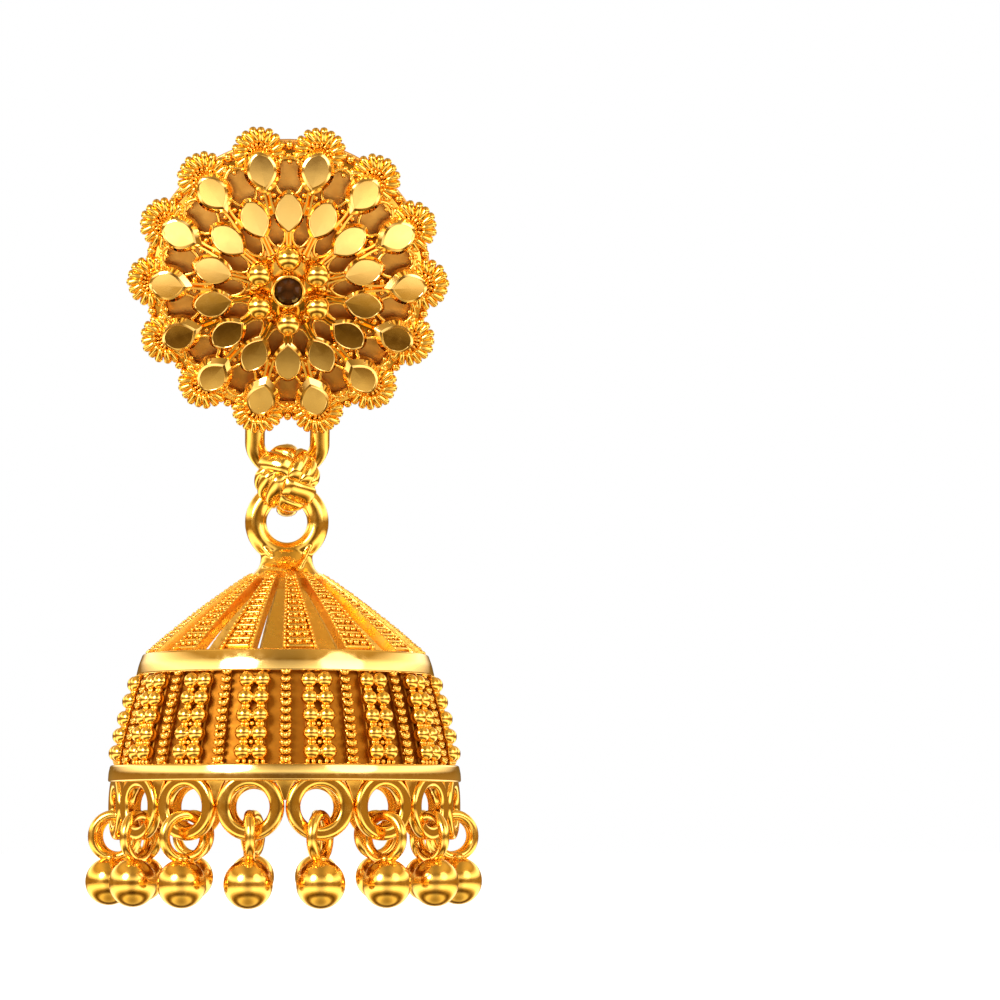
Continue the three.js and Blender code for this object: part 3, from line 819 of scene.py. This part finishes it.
def makeStone():
    stone = {
        "sides": 10, "girdle": 0.92, "table": 0.52, "culet": 0.12,
        "low": 3.10, "girdleLow": 3.42, "girdleHigh": 3.46, "top": 3.64,
    }
    # radius, height and how far the corners are turned, in sides
    levels = [
        (stone["culet"], stone["low"], 0), (stone["girdle"], stone["girdleLow"], 0.5),
        (stone["girdle"], stone["girdleHigh"], 0.5), (stone["table"], stone["top"], 0),
    ]
    rings = []
    for radius, height, shift in levels:
        ring = []
        for i in range(stone["sides"]):
            angle = 2 * math.pi * (i + shift) / stone["sides"]
            ring.append((radius * math.cos(angle), radius * math.sin(angle), height))
        rings.append(ring)
    gem = newObject("smoky_stone", skin("smoky_stone", rings, 8))
    finishPiece(gem, flowerPlace, "head", "dark_stone", smokyStone, "centre_stone")


def makePlate():
    plate = {
        "radius": 9.6, "thickness": 0.5, "rise": 0.6, "rimWire": 0.16, "rimHeight": 0.25, "spans": 10,
        "steps": 96,
    }
    rear = []
    for k in range(plate["spans"] + 1):
        share = k / plate["spans"]
        rear.append((plate["radius"] * k / plate["spans"], plate["rise"] * (1 - share ** 2)))
    frontFace = [(r, h + plate["thickness"]) for r, h in reversed(rear)]
    disc = newObject("plateSheet", turned("plateSheet", rear + frontFace, plate["steps"], 50, closed=False))
    edge = []
    for i in range(plate["steps"]):
        angle = 2 * math.pi * i / plate["steps"]
        x, y = plate["radius"] * math.cos(angle), plate["radius"] * math.sin(angle)
        edge.append((x, y, plate["rimHeight"]))
    # the plate and its rim wire take the gold with painted shade
    rim = grow("plateRimWire", wire, {
        "Path": path("plateRim", edge, closed=True), "Thickness": plate["rimWire"], "End Thickness": 1.0,
        "Finish": shadedPlateGold,
    })
    sheetPiece = oneMesh("back_plate_sheet", [disc, rim])
    finishPiece(sheetPiece, flowerPlace, "head", "plate_gold", shadedPlateGold, "back_plate")


def makeHangingRing():
    # a long ring of wire behind the plate's lower edge; its upper half turn and its lower one are drawn apart
    loop = {
        "halfWidth": 2.26, "halfDrop": 1.91, "wire": 0.69, "behind": 0.25, "centreDrop": 11.85,
        "topDrop": 9.8,
        "halfTurnSteps": 36, "sides": 18,
    }
    rings = []
    for i in range(2 * loop["halfTurnSteps"]):
        angle = math.pi * i / loop["halfTurnSteps"]
        centre = -loop["topDrop"] if i < loop["halfTurnSteps"] else -loop["centreDrop"]
        ring = []
        for k in range(loop["sides"]):
            turn = 2 * math.pi * k / loop["sides"]
            out = loop["wire"] * math.cos(turn)
            ring.append((
                (loop["halfWidth"] + out) * math.cos(angle),
                centre + (loop["halfDrop"] + out) * math.sin(angle),
                loop["wire"] * math.sin(turn) - loop["behind"],
            ))
        rings.append(ring)
    ring = newObject("hanging_ring", skin("hanging_ring", rings, 80, closed=True))
    finishPiece(ring, flowerPlace, "head", "satin_gold", satin, "back_plate")


def makePost():
    pin = {
        "radius": 0.45, "length": 11.0, "tip": 0.2, "tipLength": 0.5, "padRadius": 1.9, "padThickness": 0.5,
    }
    soft = 0.1  # how far the pad's edges are rounded off
    profile = [
        (0, -pin["length"]), (pin["tip"], -pin["length"]), (pin["radius"], -pin["length"] + pin["tipLength"]),
        # a fillet of solder
        (pin["radius"], -0.35), (pin["radius"] + 0.12, -0.1), (pin["radius"] + 0.35, 0.0),
        # the pad
        (pin["padRadius"] - 0.12, 0.0), (pin["padRadius"], soft),
        (pin["padRadius"], pin["padThickness"] - soft),
        (pin["padRadius"] - soft, pin["padThickness"]), (0, pin["padThickness"]),
    ]
    post = newObject("ear_post_pin", turned("ear_post_pin", profile, 40, 50, closed=False))
    finishPiece(post, flowerPlace, "head", "satin_gold", satin, "ear_post")


makeFlower()
makeStone()
makePlate()
makeHangingRing()
makePost()
print("head ready")


# The knot link.

knot = {
    "halfWidth": 2.02, "halfHeight": 2.08, "depth": 1.42, "setBack": 1.2, "middle": -0.8, "flatBack": 0.85,
    # beside the hanging ring's legs the back slopes forward, to leave them room
    "legStart": 1.05, "legFade": 0.3, "legGap": 1.1, "legSlope": 0.76,
    "strands": (2, 3), "strandHeight": 0.36, "strandScale": (1.0, 0.92, 0.8), "bluntness": 2.4,
    "fanStart": 0.72, "fanGrowth": 0.42, "seam": 0.16, "length": 1.06, "lengthLoss": 0.07,
    "tilt": math.radians(19), "reach": math.radians(104), "steps": 200, "levels": 120,
    "hoopHalfWidth": 1.27, "hoopWire": 0.5, "hoopBroadness": 1.5, "wireGap": 1.6, "hoopSteps": 48,
    "hoopSides": 14,
}


def strandHeight(u, v):
    # how far the woven strands stand out, over a disc whose middle faces the viewer
    a = u * math.cos(knot["tilt"]) - v * math.sin(knot["tilt"])
    b = u * math.sin(knot["tilt"]) + v * math.cos(knot["tilt"])
    upright = a * b > 0  # strands of two opposite quarters run upwards, those of the other two across
    across, along = (abs(a), abs(b)) if upright else (abs(b), abs(a))
    strands = knot["strands"][upright]
    lane = strands * across / (knot["fanStart"] + knot["fanGrowth"] * along)
    if lane >= strands:
        return 0.0
    number = int(lane)
    length = knot["length"] - knot["lengthLoss"] * number
    ridge = math.sqrt(max(0.0, 1 - abs(2 * (lane - number) - 1) ** knot["bluntness"]))
    start = math.sqrt(min(1.0, (along + 0.02) / knot["seam"]))
    end = math.sqrt(max(0.0, 1 - (along / length) ** 4))
    return knot["strandScale"][number] * ridge * start * end


def knotPoint(polar, turn):
    # a point of the knot's surface; polar is 0 at its foremost point
    spread = polar / knot["reach"]
    lift = knot["strandHeight"] * strandHeight(spread * math.cos(turn), spread * math.sin(turn))
    x = (knot["halfWidth"] + lift) * math.sin(polar) * math.cos(turn)
    z = (knot["halfHeight"] + lift) * math.sin(polar) * math.sin(turn) + knot["middle"]
    y = -knot["setBack"] - (knot["depth"] + lift) * math.cos(polar)
    beside = min(1.0, max(0.0, (abs(x) - knot["legStart"]) / knot["legFade"]))
    legs = knot["legGap"] + knot["legSlope"] * z
    back = knot["flatBack"] + beside * max(0.0, legs - knot["flatBack"])
    return x, min(y, -back), z


def hoopRing(angle):
    # one section of the long hoop behind the knot, which holds the two rings apart
    base = 0.0 if math.sin(angle) >= 0 else -knot["wireGap"]
    ring = []
    for k in range(knot["hoopSides"]):
        turn = 2 * math.pi * k / knot["hoopSides"]
        reach = knot["hoopHalfWidth"] + knot["hoopWire"] * math.cos(turn)
        side = knot["hoopWire"] * knot["hoopBroadness"] * math.sin(turn)
        ring.append((side, reach * math.cos(angle), base + reach * math.sin(angle)))
    return ring


def makeKnot():
    rings = []
    for level in range(1, knot["levels"]):
        polar = math.pi * level / knot["levels"]
        rings.append([knotPoint(polar, 2 * math.pi * i / knot["steps"]) for i in range(knot["steps"])])
    woven = newObject("woven", skin("woven", rings, 55))
    polish(woven, 2)
    smooth = evaluatedMesh(woven)
    woven.modifiers.clear()
    woven.data = tidyMesh(smooth, 70)
    sections = [hoopRing(2 * math.pi * i / knot["hoopSteps"]) for i in range(knot["hoopSteps"])]
    hoop = newObject("hoop", skin("hoop", sections, 80, closed=True))
    finishPiece(oneMesh("woven_knot", [woven, hoop]), knotPlace, "knot", "satin_gold", polished, "knot_link")


makeKnot()
print("knot ready")


# The bell. Its heights are counted from the centre of its ring.

bell = {
    "ribs": 14, "firstRib": math.radians(5.6), "arcRadius": 61.9, "startTilt": math.radians(34),
    "endTilt": math.radians(42.5), "topRadius": 2.4, "topHeight": -3.697, "ribHalfAngle": math.radians(7.1),
}


def conePoint(share, lift=0.0):
    # a point of the cone's rounded slope, from the neck (0) to the upper band (1)
    tilt = bell["startTilt"] + (bell["endTilt"] - bell["startTilt"]) * share
    radius = bell["topRadius"] + bell["arcRadius"] * (math.sin(tilt) - math.sin(bell["startTilt"]))
    height = bell["topHeight"] - bell["arcRadius"] * (math.cos(bell["startTilt"]) - math.cos(tilt))
    return radius + lift * math.sin(tilt), height + lift * math.cos(tilt)


drum = {
    "upperTop": (9.9, -9.297), "upperFoot": (10.35, -10.797), "wallTop": (9.75, -10.697),
    "wallFoot": (11.35, -16.997), "lowerTop": (12.05, -16.947), "lowerFoot": (12.2, -18.097),
    "upperThickness": 0.75, "lowerThickness": 1.0, "wallThickness": 0.55, "columns": 16,
}
drumSlope = {"top": drum["wallTop"], "foot": drum["wallFoot"], "bulge": 0.12}
coneSlope = {"top": conePoint(0.06), "foot": conePoint(0.985), "bulge": 0.14}


def onWall(name, source, rows, gaps=(1, 1), sizes=(1, 1), lift=0.0, across=1, first=0.1, last=0.9, half=True,
           jitter=0.0, seed=5, slope=drumSlope, columns=drum["columns"], start=front):
    # rows of one part down a round wall; gaps and sizes are given for its top and for its foot
    step = 2 * math.pi / columns
    return grow(name, wall, {
        "Part": source, "Columns": columns, "Rows": rows, "Across": across,
        "Top Radius": slope["top"][0], "Top Height": slope["top"][1],
        "Foot Radius": slope["foot"][0], "Foot Height": slope["foot"][1], "Bulge": slope["bulge"],
        "First Row": first, "Last Row": last, "Top Gap": gaps[0], "Foot Gap": gaps[1], "Lift": lift,
        "Start Angle": start + (step / 2 if half else 0), "Top Size": evenSize(sizes[0]),
        "Foot Size": evenSize(sizes[1]), "Unevenness": jitter, "Seed": seed, "Finish": beadGold,
    })


def wallPoint(share, side, lift):
    # a point of the drum's wall, facing out along X
    (topRadius, topHeight), (footRadius, footHeight) = drumSlope["top"], drumSlope["foot"]
    radius = topRadius + (footRadius - topRadius) * share + 4 * share * (1 - share) * drumSlope["bulge"]
    return radius + lift, side, topHeight + (footHeight - topHeight) * share


def aroundBell(name, source, copies, start, finish, radius=0.0, height=0.0):
    return grow(name, dial, {
        "Part": source, "Copies": copies, "Circle Radius": radius, "Height": height, "Start Angle": start,
        "Finish": finish,
    })


def finishBell(name, pieces, material):
    finishPiece(oneMesh(name, pieces), bellPlace, "bell", "polished_gold", material, "bell")


def capsule(name, halfLength, radius):
    # a short rounded wire lying along Y
    sides = 6
    rings = []
    for y, scale in [(-1, 0.4), (-0.9, 0.85), (-0.7, 1), (0.7, 1), (0.9, 0.85), (1, 0.4)]:
        ring = []
        for k in range(sides):
            turn = 2 * math.pi * k / sides
            ring.append((radius * scale * math.cos(turn), y * halfLength, radius * scale * math.sin(turn)))
        rings.append(ring)
    return part(name, skin(name, rings, 80))


def creaseMesh(start, bend, end, thickness):
    # a soft ridge of metal along a bent line
    spans = 8
    points = []
    for k in range(spans + 1):
        t = k / spans
        spot = Vector(start) * (1 - t) ** 2 + Vector(bend) * 2 * t * (1 - t) + Vector(end) * t ** 2
        points.append(tuple(spot))
    ridge = grow("crease", wire, {
        "Path": path("creasePath", points), "Thickness": thickness, "End Thickness": 0.3, "Sides": 8,
        "Finish": polished,
    })
    partsToCopy.append(ridge)
    return ridge.data


def makeNeck():
    neck = {
        "ringRadius": 2.17, "ringWire": 0.76, "sides": 32, "voxel": 0.085, "smoothing": 4,
        # half width, half depth, height
        "sections": [
            (1.5, 0.5, -1.75), (1.86, 0.85, -2.1), (1.80, 1.05, -2.5), (1.84, 1.3, -2.9),
            (1.98, 1.62, -3.25), (2.3, 2.05, -3.6), (2.75, 2.6, -3.92), (2.9, 2.75, -4.5),
        ],
        # start, bend, end, thickness
        "creases": [
            ((1.75, -0.55, -1.5), (1.35, -0.95, -2.5), (0.75, -1.75, -3.55), 0.17),
            ((-1.8, -0.5, -1.55), (-1.35, -0.75, -2.15), (-1.0, -0.9, -2.45), 0.15),
            ((-1.7, -0.9, -3.1), (-1.0, -1.6, -3.35), (0.3, -2.1, -3.6), 0.16),
        ],
    }
    ring = wireRing("bellRing", neck["ringRadius"], neck["ringWire"], 56, 16)
    rings = []
    for halfWidth, halfDepth, height in neck["sections"]:
        turns = [2 * math.pi * i / neck["sides"] for i in range(neck["sides"])]
        rings.append([(halfWidth * math.cos(turn), halfDepth * math.sin(turn), height) for turn in turns])
    shapes = [ring, skin("neckBody", rings)] + [creaseMesh(*crease) for crease in neck["creases"]]
    body = blended("neck", shapes, neck["voxel"], neck["smoothing"])
    finishBell("bell_neck", [newObject("neck", body)], polished)


def ribPart():
    # one rib of the cone: a shallow tray with raised edges, which follows the slope
    rib = {
        "edge": 0.17, "edgeAtTop": 0.8, "edgeGrowth": 0.5, "proud": 0.16, "floor": -0.12, "foot": -0.6,
        "soft": 0.04, "wallRun": 0.05, "spans": 16, "first": 0.015,
    }
    rings = []
    for k in range(rib["spans"] + 1):
        share = rib["first"] + (1.0 - rib["first"]) * k / rib["spans"]
        half = conePoint(share)[0] * math.tan(bell["ribHalfAngle"])
        inner = half - rib["edge"] * (rib["edgeAtTop"] + rib["edgeGrowth"] * share)
        rightHalf = [
            (inner - rib["wallRun"], rib["floor"]), (inner, rib["proud"]), (half - rib["soft"], rib["proud"]),
            (half, rib["proud"] - rib["soft"]), (half, rib["foot"]),
        ]
        section = [(-side, lift) for side, lift in reversed(rightHalf)] + rightHalf
        ring = []
        for side, lift in section:
            radius, height = conePoint(share, lift)
            ring.append((radius, side, height))
        rings.append(ring)
    return part("rib", skin("rib", rings, 30))


def makeCone():
    ribStart = front + bell["firstRib"]
    ribs = aroundBell("ribs", ribPart(), bell["ribs"], ribStart, ribGold)
    collar = {"spans": 7, "share": 0.077, "thickness": 0.7}
    shares = [collar["share"] * k / collar["spans"] for k in range(collar["spans"] + 1)]
    outline = [conePoint(share) for share in shares]
    outline += [conePoint(share, -collar["thickness"]) for share in reversed(shares)]
    finishBell("cone_ribs", [ribs, newObject("collar", turned("collar", outline, 56, 50))], ribGold)

    def onRibs(name, source, **values):
        return onWall(name, source, half=False, slope=coneSlope, columns=bell["ribs"], start=ribStart,
                      **values)

    finishBell("rib_filigree", [
        onRibs("ribWires", capsule("ribWire", 0.5, 0.12), rows=12, sizes=((1, 0.40, 1), (1.25, 1.92, 1.25)),
               first=0.0, last=0.965, jitter=0.02, seed=11),
        onRibs("ribGranules", granule, rows=11, gaps=(0.20, 0.58), sizes=(0.10, (0.22, 0.24, 0.22)),
               lift=0.05, across=3, first=0.042, last=0.92, jitter=0.04, seed=12),
        onRibs("ribEdges", granule, rows=22, gaps=(0.58, 2.08),
               sizes=((0.08, 0.07, 0.08), (0.13, 0.11, 0.14)), lift=0.14, across=2, first=0.0, last=0.99,
               jitter=0.02, seed=13),
    ], beadGold)


def band(name, top, foot, thickness):
    swell = 0.05
    middle = ((top[0] + foot[0]) / 2 + swell, (top[1] + foot[1]) / 2)
    corners = [top, middle, foot, (foot[0] - thickness, foot[1]), (top[0] - thickness, top[1])]
    return newObject(name, turned(name, rounded(corners, 0.16, 5), 160, 70))


def makeBands():
    finishBell("drum_bands", [
        band("upperBand", drum["upperTop"], drum["upperFoot"], drum["upperThickness"]),
        band("lowerBand", drum["lowerTop"], drum["lowerFoot"], drum["lowerThickness"]),
    ], mirror)


def slab(name, topHalf, footHalf, proud):
    # a raised strip of the wall, facing out along X, with rounded long edges
    spans = 8
    sunk = -0.25
    rings = []
    for k in range(spans + 1):
        share = k / spans
        half = topHalf + (footHalf - topHalf) * share
        soft = min(0.06, half * 0.3)
        section = [
            (-half, sunk), (-half, proud - soft), (-half + soft, proud), (half - soft, proud),
            (half, proud - soft), (half, sunk),
        ]
        rings.append([wallPoint(share, side, lift) for side, lift in section])
    return part(name, skin(name, rings, 30))


def braidPart():
    # two short lobes that lean together, one link of the braided wire
    link = {"lobe": (0.24, 0.31, 0.20), "lean": math.radians(42), "apart": 0.15}
    lobes = []
    for side in (-1, 1):
        mesh = ball("braidLobe", 1.0, 8, 6)
        mesh.transform(Matrix.Diagonal((*link["lobe"], 1)))
        mesh.transform(Matrix.Rotation(side * link["lean"], 4, "X"))
        mesh.transform(Matrix.Translation((0, side * link["apart"], 0)))
        lobes.append(newObject("braidLobe", mesh))
    made = oneMesh("braidLink", lobes)
    partsToCopy.append(made)
    return made


def makeDrumWall():
    inward = drum["wallThickness"]
    top, foot = drum["wallTop"], drum["wallFoot"]
    outline = [top, foot, (foot[0] - inward, foot[1]), (top[0] - inward, top[1])]
    # the wall and its raised strips take the gold with painted shade, darkened as the recess between the
    # columns
    finishBell("drum_wall", [newObject("drum_wall", turned("drum_wall", outline, 128, 40))], shadedPanelGold)
    halfStep = math.pi / drum["columns"]
    columnSlab = slab("columnSlab", topHalf=0.80, footHalf=0.86, proud=0.10)
    stripSlab = slab("stripSlab", topHalf=0.25, footHalf=0.29, proud=0.12)
    finishBell("wall_strips", [
        aroundBell("columnSlabs", columnSlab, drum["columns"], front + halfStep, shadedPanelGold),
        aroundBell("stripSlabs", stripSlab, drum["columns"], front, shadedPanelGold),
    ], shadedPanelGold)


def makeDrumBeads():
    beads = {"gaps": (1.04, 1.12), "size": 0.585, "lift": 0.44, "rows": 5, "first": 0.135, "last": 0.885}
    between = {"rows": 4, "first": 0.227, "last": 0.79}  # the granules sit between the rows of beads
    bigBall = part("bigBead", ball("bigBead", 1.0, 14, 9))
    size = beads["size"]
    finishBell("wall_beads", [
        onWall("bigBeads", bigBall, rows=beads["rows"], gaps=beads["gaps"], lift=beads["lift"], across=2,
               sizes=((size * 0.9, size * 0.96, size * 0.96), (size, size * 1.02, size)),
               first=beads["first"], last=beads["last"], jitter=0.02, seed=31),
        onWall("middleBeads", bigBall, rows=beads["rows"], sizes=(0.22, 0.25), lift=0.66,
               first=beads["first"] + 0.01, last=beads["last"] + 0.01, jitter=0.02, seed=32),
        onWall("stripBraid", braidPart(), rows=12, sizes=((1, 0.95, 0.95), (1, 1.1, 1.05)), lift=0.36,
               first=0.04, last=0.965, half=False, jitter=0.01, seed=33),
    ], beadGold)
    finishBell("wall_granules", [
        onWall("rowInner", granule, gaps=(0.68, 0.74), sizes=(0.17, 0.18), lift=0.42, across=2, jitter=0.015,
               seed=34, **between),
        onWall("rowOuter", granule, gaps=(1.26, 1.36), sizes=(0.17, 0.18), lift=0.40, across=2, jitter=0.015,
               seed=35, **between),
        onWall("lowRowMiddle", granule, rows=2, sizes=(0.16, 0.17), lift=0.46, first=0.60, last=0.79,
               jitter=0.01, seed=41),
        onWall("columnTop", granule, rows=1, gaps=(0.40, 0.40), sizes=(0.17, 0.17), lift=0.24, across=5,
               first=0.015, last=0.015, jitter=0.02, seed=37),
        onWall("columnFoot", granule, rows=1, gaps=(0.42, 0.42), sizes=(0.17, 0.17), lift=0.34, across=5,
               first=0.985, last=0.985, jitter=0.02, seed=38),
        onWall("stripSides", granule, rows=10, gaps=(0.52, 0.60), sizes=(0.12, 0.13), lift=0.26, across=2,
               first=0.0, last=1.0, half=False, jitter=0.01, seed=39),
    ], beadGold)


def makeFringe():
    flat = {
        "outer": 2.25, "hole": 1.30, "thickness": 0.8, "soft": 0.34, "circle": 11.6, "height": -19.797,
        "count": 16,
    }
    web = {
        "depth": 0.5, "circle": 11.7,
        # height, half width
        "levels": [(-17.597, 0.95), (-18.497, 0.399), (-19.297, 0.133)],
    }
    half = flat["thickness"] / 2
    outline = [(flat["hole"], -half), (flat["outer"], -half), (flat["outer"], half), (flat["hole"], half)]
    ringMesh = turned("flatRing", rounded(outline, flat["soft"], 6), 44, 60)
    ringMesh.transform(Matrix.Rotation(math.pi / 2, 4, "Y"))
    flatRing = part("flatRing", ringMesh)
    deep = web["depth"] / 2
    wedge = []
    for height, wide in web["levels"]:
        section = rounded([(-deep, -wide), (deep, -wide), (deep, wide), (-deep, wide)], 0.08, 2)
        wedge.append([(web["circle"] + x, y, height) for x, y in section])
    solder = part("solderWeb", skin("solderWeb", wedge, 40))
    halfStep = math.pi / flat["count"]
    finishBell("fringe_rings", [
        aroundBell("flatRings", flatRing, flat["count"], front + halfStep, polished, flat["circle"],
                   flat["height"]),
        aroundBell("solderWebs", solder, flat["count"], front, polished),
    ], polished)


def makeDrops():
    drop = {
        "ringCircle": 11.85, "ringHeight": -21.797, "ringRadius": 1.44, "wire": 0.36, "ballCircle": 12.15,
        "ballHeight": -24.847, "ballRadius": 1.62, "count": 16, "turn": 34,
        "solder": (0.55, 0.5, 0.3), "solderSetBack": 0.15,
    }
    solderTop = drop["ballHeight"] + drop["ballRadius"]
    for i in range(drop["count"]):
        ring = wireRing("jumpRing", drop["ringRadius"], drop["wire"], 40, 14)
        side = 1 if i % 2 else -1
        # each hangs a little its own way
        lean = math.radians(drop["turn"] * side * (0.7 + 0.3 * math.cos(2.3 * i)))
        ring.transform(Matrix.Rotation(lean, 4, "Z"))
        ring.transform(Matrix.Translation((drop["ringCircle"], 0, drop["ringHeight"])))
        sphere = ball("dropBall", drop["ballRadius"], 40, 26)
        sphere.transform(Matrix.Translation((drop["ballCircle"], 0, drop["ballHeight"])))
        solder = ball("solder", 1.0, 20, 12)
        solder.transform(Matrix.Diagonal((*drop["solder"], 1)))
        solder.transform(Matrix.Translation((drop["ballCircle"] - drop["solderSetBack"], 0, solderTop)))
        number = str(i + 1).zfill(2)
        piece = oneMesh("ball_drop_" + number, [newObject("drop", mesh) for mesh in (ring, sphere, solder)])
        angle = front + (i + 0.5) / drop["count"] * 2 * math.pi
        piece.data.transform(Matrix.Rotation(angle, 4, "Z"))
        finishPiece(piece, bellPlace, "bell", "satin_gold", satin, "drop_" + number)


makeNeck()
makeCone()
makeBands()
makeDrumWall()
makeDrumBeads()
makeFringe()
makeDrops()
print("bell ready")


# The studio: floor, light and camera.

studio = {
    "floorHeight": -0.060,
    "floorSize": 3.0,
    "floorGlow": 0.9,
    "paper": (0.93, 0.96),
    "softboxes": [
        # place, size, power
        ((-0.24, -0.30, 0.16), 0.20, 1.3),
        ((0.30, -0.28, 0.18), 0.28, 0.35),
    ],
    "lightsFace": (0, 0.006, -0.02),
    # height of the direction, from straight down (0) to straight up (1), and the room's colour there
    "room": [
        (0.00, (0.80, 0.58, 0.22)), (0.055, (1.3, 1.05, 0.55)), (0.095, (0.30, 0.18, 0.04)),
        (0.14, (0.09, 0.045, 0.008)), (0.20, (0.55, 0.36, 0.10)), (0.30, (2.1, 1.9, 1.5)),
        (0.38, (1.7, 1.45, 0.95)), (0.45, (0.24, 0.12, 0.02)), (0.50, (0.36, 0.21, 0.05)),
        (0.56, (0.24, 0.13, 0.02)), (0.65, (2.1, 1.9, 1.45)), (0.79, (0.42, 0.26, 0.06)),
        (0.90, (0.75, 0.52, 0.2)), (1.00, (0.7, 0.5, 0.22)),
    ],
    "middleShade": 0.57,  # how bright the room stays straight ahead, where the viewer stands
    "sideShade": 1.15,
    "camera": (0.0, -0.215, -0.0363),
    "pitch": 5.6,
    "yaw": -3.87,
    "lens": 113.9,
}


def makeRoom():
    world = bpy.data.worlds.new("Soft room")
    bpy.context.scene.world = world
    world.use_nodes = True
    nodes = world.node_tree
    nodes.nodes.clear()
    direction = addNode(nodes, "ShaderNodeTexCoord").outputs["Generated"]
    parts = addNode(nodes, "ShaderNodeSeparateXYZ", {0: direction})
    level = calc(nodes, "MULTIPLY_ADD", parts.outputs[2], 0.5, 0.5)
    ramp = addNode(nodes, "ShaderNodeValToRGB", {"Fac": level})
    stops = ramp.color_ramp.elements
    stops[0].position, stops[1].position = studio["room"][0][0], studio["room"][-1][0]
    for position, _ in studio["room"][1:-1]:
        stops.new(position)
    for stop, (position, colour) in zip(stops, studio["room"]):
        stop.color = (*colour, 1)
    aside = calc(nodes, "ABSOLUTE", parts.outputs[0])
    strength = addNode(nodes, "ShaderNodeMapRange", {
        "Value": aside, "From Min": 0.05, "From Max": 0.55, "To Min": studio["middleShade"],
        "To Max": studio["sideShade"],
    }, interpolation_type="SMOOTHSTEP")
    room = addNode(nodes, "ShaderNodeBackground", {"Color": ramp.outputs[0], "Strength": strength.outputs[0]})
    paper = addNode(nodes, "ShaderNodeBackground", {"Strength": 1.0})
    paper.inputs["Color"].default_value = (1, 1, 1, 1)
    seen = addNode(nodes, "ShaderNodeLightPath").outputs["Is Camera Ray"]
    choice = addNode(nodes, "ShaderNodeMixShader", {0: seen, 1: room.outputs[0], 2: paper.outputs[0]})
    exitNode = nodes.nodes.new("ShaderNodeOutputWorld")
    nodes.links.new(choice.outputs[0], exitNode.inputs["Surface"])


def makeFloor():
    half = studio["floorSize"] / 2
    corners = [(-half, -half), (half, -half), (half, half), (-half, half)]
    mesh = bpy.data.meshes.new("floor")
    mesh.from_pydata([(x, y, studio["floorHeight"]) for x, y in corners], [], [(0, 1, 2, 3)])
    floor = newObject("floor", mesh)
    material = bpy.data.materials.new("White paper")
    material.use_nodes = True
    shader = material.node_tree.nodes["Principled BSDF"]
    grain = addNode(material.node_tree, "ShaderNodeTexNoise", {"Scale": 40.0})
    spread = {"Value": grain.outputs[0], "To Min": studio["paper"][0], "To Max": studio["paper"][1]}
    tone = addNode(material.node_tree, "ShaderNodeMapRange", spread)
    material.node_tree.links.new(tone.outputs[0], shader.inputs["Base Color"])
    shader.inputs["Roughness"].default_value = 0.9
    shader.inputs["Emission Color"].default_value = (0.97, 0.98, 1, 1)
    shader.inputs["Emission Strength"].default_value = studio["floorGlow"]
    mesh.materials.append(material)
    floor.visible_glossy = False


def makeLights():
    for spot, size, power in studio["softboxes"]:
        light = bpy.data.lights.new("softbox", "AREA")
        light.shape = "DISK"
        light.size = size
        light.energy = power
        lamp = newObject("softbox", light)
        lamp.location = spot
        gaze = Vector(studio["lightsFace"]) - Vector(spot)
        lamp.rotation_euler = gaze.to_track_quat("-Z", "Y").to_euler()
        lamp.visible_camera = False


def makeCamera():
    lens = bpy.data.cameras.new("camera")
    lens.lens = studio["lens"]
    lens.sensor_width = 36
    lens.clip_start = 0.01
    camera = newObject("camera", lens)
    camera.location = studio["camera"]
    camera.rotation_euler = (math.radians(90 + studio["pitch"]), 0, math.radians(studio["yaw"]))
    bpy.context.scene.camera = camera


makeRoom()
makeFloor()
makeLights()
makeCamera()
bpy.context.scene.view_settings.view_transform = "Standard"
print("studio ready")

for made in partsToCopy:
    bpy.data.objects.remove(made)
